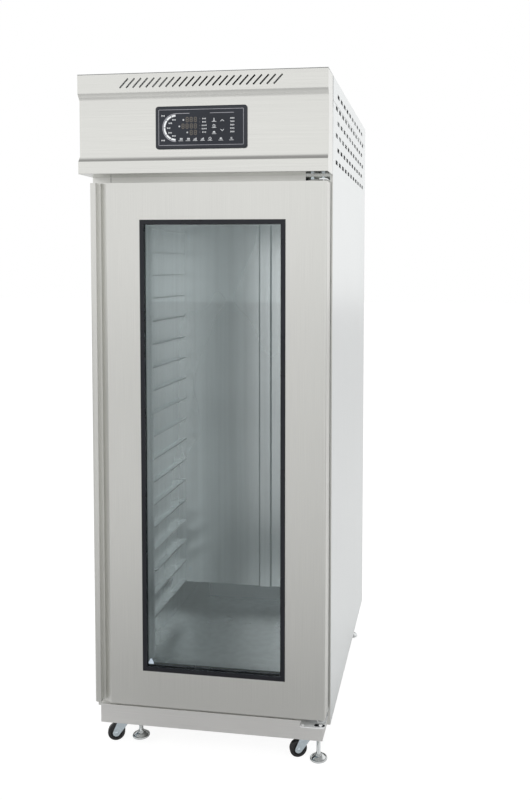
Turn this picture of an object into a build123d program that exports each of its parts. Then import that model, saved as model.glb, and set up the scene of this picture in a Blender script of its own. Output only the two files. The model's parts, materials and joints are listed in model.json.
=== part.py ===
from build123d import *
import os
from math import cos, radians, sin

# One-door retarder proofer. Millimetres, +Z up, front towards -Y.
# Origin on the floor, below the centre of the whole machine.

os.makedirs("parts", exist_ok=True)

# Overall size
width = 700.0
depth = 970.0
height = 1940.0

# Sheet gauges and general clearances
sheet = 1.5
liner_sheet = 1.0
plate = 2.5
running = 0.05
slip = 0.3

# Stack of heights above the floor
castor_height = 68.0
plinth_height = 56.0
skirt_drop = 20.0
header_height = 272.0
base_z = castor_height + plinth_height
deck_z = height - header_height
skirt_z = base_z - skirt_drop

# Depth planes
fascia_lead = 25.0
door_thick = 60.0
gasket_gap = 8.0
front_y = -depth / 2
rear_y = depth / 2
door_y = front_y + fascia_lead
door_back_y = door_y + door_thick
frame_y = door_back_y + gasket_gap

# Chamber inside the insulation
side_wall = 70.0
back_wall = 60.0
floor_wall = 56.0
roof_wall = 60.0
throat_depth = 40.0
chamber_x = width / 2 - side_wall
chamber_back_y = rear_y - back_wall
floor_z = base_z + floor_wall
roof_z = deck_z - roof_wall
liner_front_y = frame_y + throat_depth

# Door
door_left_inset = 20.0
door_right_inset = 5.0
door_rise = 29.0
door_top_gap = 22.0
door_left = -width / 2 + door_left_inset
door_right = width / 2 - door_right_inset
door_bottom = base_z + door_rise
door_top = deck_z - door_top_gap
door_edge_radius = 5.0
grip_width = 50.6
grip_lip = 19.0
grip_groove = 15.0
grip_depth = 16.0
grip_lip_radius = 8.0
grip_edge_radius = 4.0
grip_wall = 2.0
face_left = door_left + grip_width

# Window in the door, between its stiles and rails
stile_left = 96.1
stile_right = 114.3
rail_bottom = 104.0
rail_top = 103.0
window_left = face_left + stile_left
window_right = door_right - stile_right
window_low = door_bottom + rail_bottom
window_high = door_top - rail_top
window_width = window_right - window_left
window_height = window_high - window_low
window_centre_x = (window_right + window_left) / 2
window_centre_z = (window_high + window_low) / 2
window_face = 13.0
window_proud = 3.5
window_lip = 3.0
window_wall = 2.0
window_setback = 4.0
window_back_flange = 2.0
pane = 5.0
pane_air = 12.0
pane_width = window_width - 2 * (window_face - window_lip)
pane_height = window_height - 2 * (window_face - window_lip)
window_hole_width = pane_width + 2 * window_wall
window_hole_height = pane_height + 2 * window_wall

# Hinge line, near the door's front right corner
hinge_inset = 15.0
hinge_x = door_right - hinge_inset
hinge_y = door_y + hinge_inset
hinge_pin = 5.0
hinge_engage = 25.0
hinge_bore_spare = 2.0
bracket_plate = 4.0
bracket_gap = 3.0
bracket_length = 68.0
bracket_nose = 13.0
bracket_low_clear = 2.0
bracket_high_clear = 1.0

# Door gasket
gasket_inset = 8.0
gasket_width = 16.0
gasket_clear = 0.4
gasket_past_hinge = 2.0
gasket_chamfer = 2.6

# Header fascia profile
band_low = 34.0
band_step = 17.0
band_panel = 151.0
band_recess = 12.0
fascia_return = 85.0
fascia_flange = 125.0
panel_y = front_y + band_recess
panel_z = deck_z + band_low + band_step + band_panel / 2
panel_top_z = deck_z + band_low + band_step + band_panel
band_top_z = panel_top_z + band_step
fascia_top = height - sheet

# Vent slots
slant_count = 24
slant_pitch = 18.7
slant_length = 35.0
slant_width = 4.4
slant_angle = 46.0
vent_length = 40.0
vent_width = 7.0
vent_row_pitch = 38.0
vent_first_row = 43.0
vent_front_margin = 76.0
vent_rear_margin = 101.0
vent_long_count = 11
vent_short_count = 10
vent_rows = 5
back_vent_length = 96.0
back_vent_pitch = 130.0
back_vent_columns = 4
back_vent_rows = 4
cover_flange = 67.0
cover_setback = 1.0
wrap_gap = 1.0

# Control panel
bezel_width = 257.0
bezel_height = 115.4
bezel_z = panel_z - 3.0
bezel_proud = 6.0
bezel_radius = 8.0
bezel_border = 9.0
overlay_set = 0.8
overlay_thick = 3.7
key_proud = 0.4
key_thick = 3.2
key_travel = 0.4
key_gap = 0.2
key_chamfer = 1.6
control_margin = 5.0

# False back that hides the air path
duct_space = 205.0
duct_y = chamber_back_y - duct_space

# Tray runners, as many as the chamber's height takes
runner_pitch = 74.0
runner_rise = 96.0
runner_headroom = 60.0
runner_ledge = 22.0
runner_drop = 20.0
runner_front_gap = 32.0
runner_back_gap = 55.0
runner_first_z = floor_z + runner_rise
runner_count = int((roof_z - runner_headroom - runner_first_z) // runner_pitch) + 1
runner_y = liner_front_y + runner_front_gap
runner_length = duct_y - runner_back_gap - runner_y

# Folds of the false back
duct_bottom_rise = 66.0
duct_top_drop = 38.0
duct_flange = 25.0
duct_strip_x = 20.0
duct_strip_width = 48.0
duct_strip_proud = 6.0

# Plinth and running gear
plinth_inset = 19.0
plinth_lead = 26.0
plinth_rear_inset = 25.0
plinth_sheet = 2.0
gusset_x = 136.0
gusset_y = 84.0
castor_side_inset = 74.0
castor_front_inset = 40.0
castor_trail = 22.0
castor_rest_angle = 200.0
wheel_radius = 25.0
wheel_width = 18.0
axle_radius = 3.0
kingpin_radius = 4.0
foot_right_inset = 34.0
foot_left_inset = 132.0
foot_ahead = 12.0
stem_radius = 8.0
foot_disc_radius = 25.0
foot_stem_length = 95.0
foot_low = 0.0
foot_high = 21.2
nut_height = 13.0
nut_flats = 24.0

# Fans and the condenser that one of them cools
evap_fan_radius = 86.0
evap_hub_radius = 24.0
evap_hub_height = 30.0
cond_fan_radius = 118.0
cond_hub_radius = 30.0
cond_hub_height = 34.0
cond_fan_setback = 342.0
condenser_height = 256.0
fan_tip_gap = 4.0
shaft_radius = 3.0
fan_blades = 5
blade_sheet = 2.4
blade_root_sink = 4.0
blade_root_chord = 0.8
blade_tip_chord = 0.42
blade_pitch = 32.0

plinth_x = width / 2 - plinth_inset
plinth_front_y = frame_y - plinth_lead
plinth_back_y = rear_y - plinth_rear_inset
castor_x = width / 2 - castor_side_inset
castor_front_y = plinth_front_y + castor_front_inset
castor_back_y = plinth_back_y - castor_front_inset - foot_ahead
foot_right_x = width / 2 - foot_right_inset
foot_left_x = foot_left_inset - width / 2

# Cabinet casing
shell_depth = rear_y - frame_y - sheet
shell_mid_y = (frame_y + sheet + rear_y) / 2
inside_width = width - 2 * sheet
inside_depth = shell_depth - sheet
inside_mid_y = shell_mid_y - sheet / 2
casing_height = deck_z - skirt_z
chamber_height = roof_z - floor_z
chamber_mid_z = (roof_z + floor_z) / 2
liner_width = 2 * (chamber_x + liner_sheet)
liner_height = chamber_height + 2 * liner_sheet

with BuildPart() as outer_shell:
    with BuildSketch(Plane.XY.offset(skirt_z)) as shell_plan:
        with Locations((0, shell_mid_y)):
            Rectangle(width, shell_depth)
        fillet(shell_plan.vertices().group_by(Axis.Y)[-1], 2 * sheet)
    extrude(amount=casing_height)
    with BuildSketch(Plane.XY.offset(skirt_z)) as shell_inside:
        with Locations((0, inside_mid_y)):
            Rectangle(inside_width, inside_depth)
        fillet(shell_inside.vertices().group_by(Axis.Y)[-1], sheet)
    extrude(amount=casing_height, mode=Mode.SUBTRACT)
outer_shell.part.label = "outer_shell"
export_step(outer_shell.part, "parts/outer_shell.step")

with BuildPart() as end_plates:
    for level in (base_z, deck_z - sheet):
        with BuildSketch(Plane.XY.offset(level)) as end_plan:
            with Locations((0, inside_mid_y)):
                Rectangle(inside_width, inside_depth)
            chamfer(end_plan.vertices().group_by(Axis.Y)[-1], sheet)
        extrude(amount=sheet)
end_plates.part.label = "end_plates"
export_step(end_plates.part, "parts/end_plates.step")

# Face plate of the cabinet, with a throat that carries the liner
with BuildPart() as front_frame:
    with BuildSketch(Plane.XZ.offset(-frame_y)):
        with Locations((0, (deck_z + base_z) / 2)):
            Rectangle(width, deck_z - base_z)
    extrude(amount=-sheet)
    with BuildSketch(Plane.XZ.offset(-frame_y)):
        with Locations((0, chamber_mid_z)):
            Rectangle(liner_width, liner_height)
    extrude(amount=-throat_depth)
    with BuildSketch(Plane.XZ.offset(-frame_y)):
        with Locations((0, chamber_mid_z)):
            Rectangle(2 * chamber_x, chamber_height)
    extrude(amount=-throat_depth, mode=Mode.SUBTRACT)
front_frame.part.label = "front_frame"
export_step(front_frame.part, "parts/front_frame.step")

with BuildPart() as inner_liner:
    with BuildSketch(Plane.XZ.offset(-liner_front_y)):
        with Locations((0, chamber_mid_z)):
            Rectangle(liner_width, liner_height)
    extrude(amount=-(chamber_back_y + liner_sheet - liner_front_y))
    with BuildSketch(Plane.XZ.offset(-liner_front_y)):
        with Locations((0, chamber_mid_z)):
            Rectangle(2 * chamber_x, chamber_height)
    extrude(amount=-(chamber_back_y - liner_front_y), mode=Mode.SUBTRACT)
inner_liner.part.label = "inner_liner"
export_step(inner_liner.part, "parts/inner_liner.step")

foam_front_y = frame_y + sheet
foam_height = deck_z - base_z - 2 * sheet

with BuildPart() as cabinet_foam:
    with BuildSketch(Plane.XZ.offset(-foam_front_y)):
        with Locations((0, (deck_z + base_z) / 2)):
            Rectangle(inside_width, foam_height)
    extrude(amount=-inside_depth)
    chamfer(cabinet_foam.edges().filter_by(Axis.Z).group_by(Axis.Y)[-1], sheet)
    with BuildSketch(Plane.XZ.offset(-foam_front_y)):
        with Locations((0, chamber_mid_z)):
            Rectangle(liner_width, liner_height)
    extrude(amount=-(chamber_back_y + liner_sheet - foam_front_y), mode=Mode.SUBTRACT)
cabinet_foam.part.label = "cabinet_foam"
export_step(cabinet_foam.part, "parts/cabinet_foam.step")

# Chamber fittings
pan_front_gap = 5.0
pan_front_y = liner_front_y + pan_front_gap
pan_length = chamber_back_y - pan_front_y
pan_mid_y = (pan_front_y + chamber_back_y) / 2
pan_rim = 12.0
pan_sheet = 1.2
drain_radius = 12.0

with BuildPart() as floor_pan:
    with BuildSketch(Plane.XY.offset(floor_z)) as pan_plan:
        with Locations((0, pan_mid_y)):
            Rectangle(2 * chamber_x, pan_length)
        chamfer(pan_plan.vertices(), pan_rim)
    extrude(amount=pan_rim)
    with BuildSketch(Plane.XY.offset(floor_z + pan_sheet)) as pan_well:
        with Locations((0, pan_mid_y)):
            Rectangle(2 * (chamber_x - pan_sheet), pan_length - 2 * pan_sheet)
        chamfer(pan_well.vertices(), pan_rim)
    extrude(amount=pan_rim, mode=Mode.SUBTRACT)
    with BuildSketch(Plane.XY.offset(floor_z)):
        with Locations((0, pan_mid_y)):
            Circle(drain_radius)
    extrude(amount=pan_sheet, mode=Mode.SUBTRACT)
floor_pan.part.label = "floor_pan"
export_step(floor_pan.part, "parts/floor_pan.step")

for side, rack_name in ((-1, "tray_runners_left"), (1, "tray_runners_right")):
    wall_x = side * chamber_x
    inner_x = side * (chamber_x - sheet)
    tip_x = side * (chamber_x - runner_ledge)
    with BuildPart() as tray_runners:
        for level in range(runner_count):
            ledge_z = runner_first_z + level * runner_pitch
            with BuildSketch(Plane.XZ.offset(-runner_y)):
                with BuildLine():
                    Polyline(
                        (wall_x, ledge_z),
                        (tip_x, ledge_z),
                        (tip_x, ledge_z - sheet),
                        (inner_x, ledge_z - sheet),
                        (inner_x, ledge_z - runner_drop),
                        (wall_x, ledge_z - runner_drop),
                        close=True,
                    )
                make_face()
            extrude(amount=-runner_length)
    tray_runners.part.label = rack_name
    export_step(tray_runners.part, f"parts/{rack_name}.step")

# False back: one folded sheet with a raised strip and flanges that reach the liner's sides
duct_bottom = floor_z + duct_bottom_rise
duct_top = roof_z - duct_top_drop
strip_left = duct_strip_x - duct_strip_width / 2
strip_right = duct_strip_x + duct_strip_width / 2
strip_y = duct_y - duct_strip_proud
duct_back_y = duct_y + pan_sheet

with BuildPart() as duct_panel:
    with BuildSketch(Plane.XY.offset(duct_bottom)):
        with BuildLine():
            Polyline(
                (-chamber_x, duct_y + duct_flange),
                (-chamber_x, duct_y),
                (strip_left, duct_y),
                (strip_left + duct_strip_proud, strip_y),
                (strip_right - duct_strip_proud, strip_y),
                (strip_right, duct_y),
                (chamber_x, duct_y),
                (chamber_x, duct_y + duct_flange),
                (chamber_x - pan_sheet, duct_y + duct_flange),
                (chamber_x - pan_sheet, duct_back_y),
                (strip_right - pan_sheet / 2, duct_back_y),
                (strip_right - duct_strip_proud - pan_sheet / 2, strip_y + pan_sheet),
                (strip_left + duct_strip_proud + pan_sheet / 2, strip_y + pan_sheet),
                (strip_left + pan_sheet / 2, duct_back_y),
                (-chamber_x + pan_sheet, duct_back_y),
                (-chamber_x + pan_sheet, duct_y + duct_flange),
                close=True,
            )
        make_face()
    extrude(amount=duct_top - duct_bottom)
duct_panel.part.label = "duct_panel"
export_step(duct_panel.part, "parts/duct_panel.step")

# Evaporator: core block with fins back and front, hung on two end plates
coil_half = 236.0
coil_drop = 418.0
coil_height = 190.0
coil_front_gap = 32.0
coil_back_gap = 22.0
coil_bottom = roof_z - coil_drop
coil_front_y = duct_y + coil_front_gap
coil_back_y = chamber_back_y - coil_back_gap
coil_mid_y = (coil_front_y + coil_back_y) / 2
coil_depth = coil_back_y - coil_front_y
coil_fins = 15
fin_sheet = 2.0
fin_depth = 46.0
coil_bracket = 3.0
fin_pitch = (2 * coil_half - fin_sheet) / (coil_fins - 1)

with BuildPart() as evaporator:
    with BuildSketch(Plane.XY.offset(coil_bottom)):
        with Locations((0, coil_mid_y)):
            Rectangle(2 * coil_half, coil_depth - 2 * fin_depth)
            with GridLocations(fin_pitch, 0, coil_fins, 1):
                Rectangle(fin_sheet, coil_depth)
        with Locations((0, (coil_front_y + chamber_back_y) / 2)):
            with GridLocations(2 * coil_half + coil_bracket, 0, 2, 1):
                Rectangle(coil_bracket, chamber_back_y - coil_front_y)
    extrude(amount=coil_height)
evaporator.part.label = "evaporator"
export_step(evaporator.part, "parts/evaporator.step")

# Fan deck above the coil, with the motor bridged over the fan's ring
evap_fan_y = (duct_back_y + chamber_back_y) / 2
evap_deck_rise = 70.0
evap_deck_z = coil_bottom + coil_height + evap_deck_rise
evap_motor_rise = 40.0
evap_motor_radius = 36.0
evap_motor_height = 50.0
strut_width = 8.0
strut_thick = 3.0
evap_bridge = 2 * (evap_fan_radius + 2 * strut_width)
evap_motor_z = evap_deck_z + evap_motor_rise
evap_fan_z = evap_deck_z + (sheet - evap_hub_height) / 2

with BuildPart() as fan_motor:
    with BuildSketch(Plane.XY.offset(evap_deck_z)):
        with Locations((0, evap_fan_y)):
            Rectangle(2 * (chamber_x - pan_sheet), chamber_back_y - duct_back_y)
            Circle(evap_fan_radius + fan_tip_gap, mode=Mode.SUBTRACT)
    extrude(amount=sheet)
    with BuildSketch(Plane.XY.offset(evap_deck_z)):
        with Locations((0, evap_fan_y)):
            with GridLocations(evap_bridge - strut_thick, 0, 2, 1):
                Rectangle(strut_thick, strut_width)
    extrude(amount=evap_motor_rise)
    with BuildSketch(Plane.XY.offset(evap_motor_z)):
        with Locations((0, evap_fan_y)):
            Rectangle(evap_bridge, strut_width)
    extrude(amount=strut_thick)
    with BuildSketch(Plane.XY.offset(evap_motor_z)):
        with Locations((0, evap_fan_y)):
            Circle(evap_motor_radius)
    extrude(amount=evap_motor_height)
    with BuildSketch(Plane.XY.offset(evap_fan_z)):
        with Locations((0, evap_fan_y)):
            Circle(shaft_radius)
    extrude(amount=evap_motor_z - evap_fan_z)
fan_motor.part.label = "fan_motor"
export_step(fan_motor.part, "parts/fan_motor.step")

# Each fan is a bored hub with pitched blades that widen towards the tip
cond_fan_y = front_y + cond_fan_setback
cond_fan_z = deck_z + condenser_height / 2
evap_plane = Plane((0, evap_fan_y, evap_fan_z), x_dir=(1, 0, 0), z_dir=(0, 0, 1))
cond_plane = Plane((0, cond_fan_y, cond_fan_z), x_dir=(1, 0, 0), z_dir=(0, -1, 0))
fans = (
    ("evaporator_fan", evap_plane, evap_fan_radius, evap_hub_radius, evap_hub_height),
    ("condenser_fan", cond_plane, cond_fan_radius, cond_hub_radius, cond_hub_height),
)
for fan_name, fan_plane, tip_radius, hub_radius, hub_height in fans:
    with BuildPart() as fan:
        with BuildSketch(fan_plane):
            Circle(hub_radius)
        extrude(amount=hub_height)
        for number in range(fan_blades):
            turn = radians(360.0 * number / fan_blades)
            radial = fan_plane.x_dir * cos(turn) + fan_plane.y_dir * sin(turn)
            along = fan_plane.z_dir.cross(radial)
            root = hub_radius - blade_root_sink
            middle = fan_plane.origin + fan_plane.z_dir * (hub_height / 2)
            with BuildSketch(Plane(middle + radial * root, x_dir=along, z_dir=radial)):
                Rectangle(blade_root_chord * hub_radius, blade_sheet, rotation=blade_pitch)
            with BuildSketch(Plane(middle + radial * tip_radius, x_dir=along, z_dir=radial)):
                Rectangle(blade_tip_chord * tip_radius, blade_sheet, rotation=blade_pitch)
            loft(ruled=True)
        with BuildSketch(fan_plane):
            Circle(shaft_radius + running)
        extrude(amount=hub_height, mode=Mode.SUBTRACT)
    fan.part.label = fan_name
    export_step(fan.part, f"parts/{fan_name}.step")

# Humidifier: open water pan with a looped heating rod, on the floor pan behind the false back
humid_width = 400.0
humid_height = 60.0
humid_front_gap = 30.0
humid_back_gap = 20.0
humid_front_y = duct_y + humid_front_gap
humid_back_y = chamber_back_y - humid_back_gap
humid_mid_y = (humid_front_y + humid_back_y) / 2
humid_depth = humid_back_y - humid_front_y
heater_radius = 4.0
heater_bend = 30.0
heater_reach = 300.0

with BuildPart() as humidifier:
    with BuildSketch(Plane.XY.offset(floor_z + pan_sheet)):
        with Locations((0, humid_mid_y)):
            Rectangle(humid_width, humid_depth)
    extrude(amount=humid_height)
    with BuildSketch(Plane.XY.offset(floor_z + 2 * pan_sheet)):
        with Locations((0, humid_mid_y)):
            Rectangle(humid_width - 2 * pan_sheet, humid_depth - 2 * pan_sheet)
    extrude(amount=humid_height, mode=Mode.SUBTRACT)
    heater_x = -humid_width / 2 + pan_sheet / 2
    heater_z = floor_z + humid_height / 2
    with BuildLine() as heater_path:
        start = (heater_x, humid_mid_y - heater_bend, heater_z)
        turn_in = (heater_x + heater_reach, humid_mid_y - heater_bend, heater_z)
        turn_out = (heater_x + heater_reach, humid_mid_y + heater_bend, heater_z)
        crown = (heater_x + heater_reach + heater_bend, humid_mid_y, heater_z)
        Line(start, turn_in)
        ThreePointArc(turn_in, crown, turn_out)
        Line(turn_out, (heater_x, humid_mid_y + heater_bend, heater_z))
    with BuildSketch(Plane(start, x_dir=(0, 1, 0), z_dir=(1, 0, 0))):
        RegularPolygon(heater_radius, 6)
    sweep(path=heater_path.wire())
humidifier.part.label = "humidifier"
export_step(humidifier.part, "parts/humidifier.step")

# Plinth: folded box, open below, with return flanges and corner gussets
plinth_width = 2 * plinth_x
plinth_depth = plinth_back_y - plinth_front_y
plinth_mid_y = (plinth_front_y + plinth_back_y) / 2
return_flange = 25.0
foot_places = (
    ("front_right", foot_right_x, castor_front_y - foot_ahead, foot_low),
    ("front_left", foot_left_x, castor_front_y - foot_ahead, foot_high),
    ("rear_right", foot_right_x, castor_back_y - foot_ahead, foot_low),
    ("rear_left", foot_left_x, castor_back_y - foot_ahead, foot_high),
)
castor_places = (
    ("front_right", castor_x, castor_front_y),
    ("front_left", -castor_x, castor_front_y),
    ("rear_right", castor_x, castor_back_y),
    ("rear_left", -castor_x, castor_back_y),
)

with BuildPart() as plinth:
    with BuildSketch(Plane.XY.offset(castor_height)):
        with Locations((0, plinth_mid_y)):
            Rectangle(plinth_width, plinth_depth)
    extrude(amount=plinth_height)
    with BuildSketch(Plane.XY.offset(castor_height)):
        with Locations((0, plinth_mid_y)):
            Rectangle(plinth_width - 2 * plinth_sheet, plinth_depth - 2 * plinth_sheet)
    extrude(amount=plinth_height - plinth_sheet, mode=Mode.SUBTRACT)
    with BuildSketch(Plane.XY.offset(castor_height)):
        with Locations((0, plinth_mid_y)):
            Rectangle(plinth_width, plinth_depth)
            Rectangle(
                plinth_width - 2 * return_flange, plinth_depth - 2 * return_flange, mode=Mode.SUBTRACT
            )
            with GridLocations(plinth_width - gusset_x, plinth_depth - gusset_y, 2, 2):
                Rectangle(gusset_x, gusset_y)
        for foot_name, foot_x, foot_y, foot_z in foot_places:
            with Locations((foot_x, foot_y)):
                Circle(stem_radius + slip, mode=Mode.SUBTRACT)
    extrude(amount=plinth_sheet)
plinth.part.label = "plinth"
export_step(plinth.part, "parts/plinth.step")

# Castors: fixed plate with raceway and kingpin, swivelling fork, wheel on its axle
castor_plate_x = 60.0
castor_plate_y = 50.0
race_radius = 17.0
race_height = 5.0
fork_plate = 2.5
rivet_radius = 7.0
rivet_height = 2.4
plate_z = castor_height - plate
race_z = plate_z - race_height
fork_z = race_z - slip - fork_plate
rivet_z = fork_z - slip - rivet_height
fork_half = 18.0
fork_corner = 6.0
leg_sheet = 2.0
leg_gap = 1.5
leg_boss = 7.0
leg_top = 24.0
axle_head = 5.0
axle_head_height = 3.0
hub_half = wheel_width / 2 + leg_gap - slip

with BuildPart() as castor_plates:
    for castor_name, pivot_x, pivot_y in castor_places:
        with BuildSketch(Plane.XY.offset(plate_z)):
            with Locations((pivot_x, pivot_y)):
                Rectangle(castor_plate_x, castor_plate_y)
        extrude(amount=plate)
        with BuildSketch(Plane.XY.offset(race_z)):
            with Locations((pivot_x, pivot_y)):
                Circle(race_radius)
        extrude(amount=race_height)
        with BuildSketch(Plane.XY.offset(rivet_z)):
            with Locations((pivot_x, pivot_y)):
                Circle(kingpin_radius)
        extrude(amount=race_z - rivet_z)
        with BuildSketch(Plane.XY.offset(rivet_z)):
            with Locations((pivot_x, pivot_y)):
                RegularPolygon(rivet_radius, 8)
        extrude(amount=rivet_height)
castor_plates.part.label = "castor_plates"
export_step(castor_plates.part, "parts/castor_plates.step")

trail_turn = radians(castor_rest_angle)
trail_dir = Vector(cos(trail_turn), sin(trail_turn), 0)
axle_dir = Vector(sin(trail_turn), -cos(trail_turn), 0)

for castor_name, pivot_x, pivot_y in castor_places:
    pivot = Vector(pivot_x, pivot_y, 0)
    plan = Plane(pivot, x_dir=trail_dir, z_dir=(0, 0, 1))
    upright = Plane(pivot, x_dir=trail_dir, z_dir=axle_dir)
    with BuildPart() as castor_fork:
        with BuildSketch(plan.offset(fork_z)) as fork_top:
            Rectangle(2 * fork_half, 2 * (hub_half + slip + leg_sheet))
            chamfer(fork_top.vertices(), fork_corner)
            Circle(kingpin_radius + running, mode=Mode.SUBTRACT)
        extrude(amount=fork_plate)
        for leg_start in (wheel_width / 2 + leg_gap, -wheel_width / 2 - leg_gap - leg_sheet):
            with BuildSketch(upright.offset(leg_start)):
                with Locations((castor_trail, wheel_radius)):
                    RegularPolygon(leg_boss, 8)
                with Locations((0, fork_z)):
                    Rectangle(leg_top, leg_sheet)
                make_hull()
            extrude(amount=leg_sheet)
        leg_outer = wheel_width / 2 + leg_gap + leg_sheet
        with BuildSketch(upright.offset(-leg_outer)):
            with Locations((castor_trail, wheel_radius)):
                Circle(axle_radius)
        extrude(amount=2 * leg_outer)
        for head_start in (leg_outer, -leg_outer - axle_head_height):
            with BuildSketch(upright.offset(head_start)):
                with Locations((castor_trail, wheel_radius)):
                    RegularPolygon(axle_head, 6)
            extrude(amount=axle_head_height)
    castor_fork.part.label = f"castor_fork_{castor_name}"
    export_step(castor_fork.part, f"parts/castor_fork_{castor_name}.step")

    tread_half = wheel_width / 2
    axle_point = pivot + trail_dir * castor_trail + Vector(0, 0, wheel_radius)
    with BuildPart() as castor_wheel:
        with BuildSketch(Plane(axle_point, x_dir=trail_dir, z_dir=(0, 0, 1))):
            with BuildLine():
                Polyline(
                    (axle_radius + running, -hub_half),
                    (wheel_radius, -tread_half),
                    (wheel_radius, tread_half),
                    (axle_radius + running, hub_half),
                    close=True,
                )
            make_face()
        revolve(axis=Axis(axle_point, axle_dir))
    castor_wheel.part.label = f"castor_wheel_{castor_name}"
    export_step(castor_wheel.part, f"parts/castor_wheel_{castor_name}.step")

# Levelling feet: domed pad, hexagon collar and stem in one turned piece
foot_rim = 5.0
foot_dome = 12.0
collar_height = 8.0

for foot_name, foot_x, foot_y, foot_z in foot_places:
    with BuildPart() as levelling_foot:
        with BuildSketch(Plane.XZ.offset(-foot_y)):
            with BuildLine():
                Polyline(
                    (foot_x, foot_z),
                    (foot_x + foot_disc_radius, foot_z),
                    (foot_x + foot_disc_radius, foot_z + foot_rim),
                    (foot_x + stem_radius, foot_z + foot_dome),
                    (foot_x + stem_radius, foot_z + foot_stem_length),
                    (foot_x, foot_z + foot_stem_length),
                    close=True,
                )
            make_face()
        revolve(axis=Axis((foot_x, foot_y, 0), (0, 0, 1)))
        with BuildSketch(Plane.XY.offset(foot_z + foot_dome)):
            with Locations((foot_x, foot_y)):
                RegularPolygon(nut_flats / 2, 6, major_radius=False)
        extrude(amount=collar_height)
    levelling_foot.part.label = f"levelling_foot_{foot_name}"
    export_step(levelling_foot.part, f"parts/levelling_foot_{foot_name}.step")

# Header fascia: folded channel with plain end returns
bezel_hole_width = bezel_width - 2 * bezel_border
bezel_hole_height = bezel_height - 2 * bezel_border
fascia_back_y = front_y + fascia_return

with BuildPart() as header_fascia:
    with BuildSketch(Plane.YZ) as fascia_profile:
        with BuildLine():
            Polyline(
                (fascia_back_y, deck_z),
                (front_y, deck_z),
                (front_y, deck_z + band_low),
                (panel_y, deck_z + band_low + band_step),
                (panel_y, panel_top_z),
                (front_y, band_top_z),
                (front_y, fascia_top),
                (fascia_back_y, fascia_top),
                close=True,
            )
        make_face()
    extrude(amount=width / 2, both=True)
    with BuildSketch(Plane.YZ):
        offset(fascia_profile.sketch_local, amount=-sheet, kind=Kind.INTERSECTION)
        with Locations((fascia_back_y - sheet, (deck_z + fascia_top) / 2)):
            Rectangle(4 * sheet, fascia_top - deck_z - 2 * sheet)
    extrude(amount=width / 2 - sheet, both=True, mode=Mode.SUBTRACT)
    with BuildSketch(Plane.XY.offset(deck_z)):
        with Locations((0, fascia_back_y + (fascia_flange - fascia_return) / 2 - sheet)):
            Rectangle(width - 4 * sheet, fascia_flange - fascia_return + 2 * sheet)
    extrude(amount=sheet)
    with BuildSketch(Plane.XZ.offset(-front_y)):
        with Locations((0, (band_top_z + fascia_top) / 2)):
            with GridLocations(slant_pitch, 0, slant_count, 1):
                Rectangle(slant_length, slant_width, rotation=slant_angle)
    extrude(amount=-2 * sheet, mode=Mode.SUBTRACT)
    with BuildSketch(Plane.XZ.offset(-panel_y)):
        with Locations((0, bezel_z)):
            Rectangle(bezel_hole_width, bezel_hole_height)
    extrude(amount=-2 * sheet, mode=Mode.SUBTRACT)
header_fascia.part.label = "header_fascia"
export_step(header_fascia.part, "parts/header_fascia.step")

# Header casing: vented wrapper below, top cover with the uppermost row of vents above
wrap_top = height - cover_flange - wrap_gap
wrap_depth = rear_y - frame_y
wrap_mid_y = (rear_y + frame_y) / 2
back_recess = 25.0
joggle = 20.0
vent_run = wrap_depth - vent_front_margin - vent_rear_margin
vent_pitch = vent_run / (vent_long_count - 1)
vent_mid_y = frame_y + vent_front_margin + vent_run / 2

with BuildPart() as header_wrap:
    with BuildSketch(Plane.XY.offset(deck_z)):
        with Locations((0, wrap_mid_y)):
            Rectangle(width, wrap_depth)
            Rectangle(width - 2 * sheet, wrap_depth, mode=Mode.SUBTRACT)
        with Locations((0, rear_y - back_recess - sheet / 2)):
            Rectangle(width - 2 * sheet, sheet)
    extrude(amount=wrap_top - deck_z)
    with BuildSketch(Plane.XY.offset(deck_z + joggle)):
        with Locations((0, frame_y)):
            with GridLocations(width - 3 * sheet, 0, 2, 1):
                Rectangle(sheet, 2 * joggle)
    extrude(amount=wrap_top - deck_z - 2 * joggle)
    with BuildSketch(Plane.YZ.offset(width / 2)):
        for row in range(vent_rows):
            row_count = vent_short_count if row % 2 else vent_long_count
            with Locations((vent_mid_y, deck_z + vent_first_row + row * vent_row_pitch)):
                with GridLocations(vent_pitch, 0, row_count, 1):
                    Rectangle(vent_length, vent_width)
    extrude(amount=-width, mode=Mode.SUBTRACT)
    with BuildSketch(Plane.XZ.offset(-rear_y)):
        with Locations((0, (deck_z + wrap_top) / 2)):
            with GridLocations(back_vent_pitch, vent_row_pitch, back_vent_columns, back_vent_rows):
                Rectangle(back_vent_length, vent_width)
    extrude(amount=2 * back_recess, mode=Mode.SUBTRACT)
header_wrap.part.label = "header_wrap"
export_step(header_wrap.part, "parts/header_wrap.step")

cover_front_y = front_y + cover_setback
cover_row_z = deck_z + vent_first_row + vent_rows * vent_row_pitch

with BuildPart() as top_cover:
    with BuildSketch(Plane.XY.offset(height - cover_flange)):
        with Locations((0, wrap_mid_y)):
            Rectangle(width, wrap_depth)
    extrude(amount=cover_flange)
    with BuildSketch(Plane.XY.offset(height - cover_flange)):
        with Locations((0, wrap_mid_y - sheet / 2)):
            Rectangle(width - 2 * sheet, wrap_depth - sheet)
    extrude(amount=cover_flange - sheet, mode=Mode.SUBTRACT)
    with BuildSketch(Plane.XY.offset(height - sheet)):
        with Locations((0, (cover_front_y + frame_y) / 2)):
            Rectangle(width, frame_y - cover_front_y)
    extrude(amount=sheet)
    with BuildSketch(Plane.YZ.offset(width / 2)):
        with Locations((vent_mid_y, cover_row_z)):
            with GridLocations(vent_pitch, 0, vent_short_count, 1):
                Rectangle(vent_length, vent_width)
    extrude(amount=-width, mode=Mode.SUBTRACT)
top_cover.part.label = "top_cover"
export_step(top_cover.part, "parts/top_cover.step")

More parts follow.
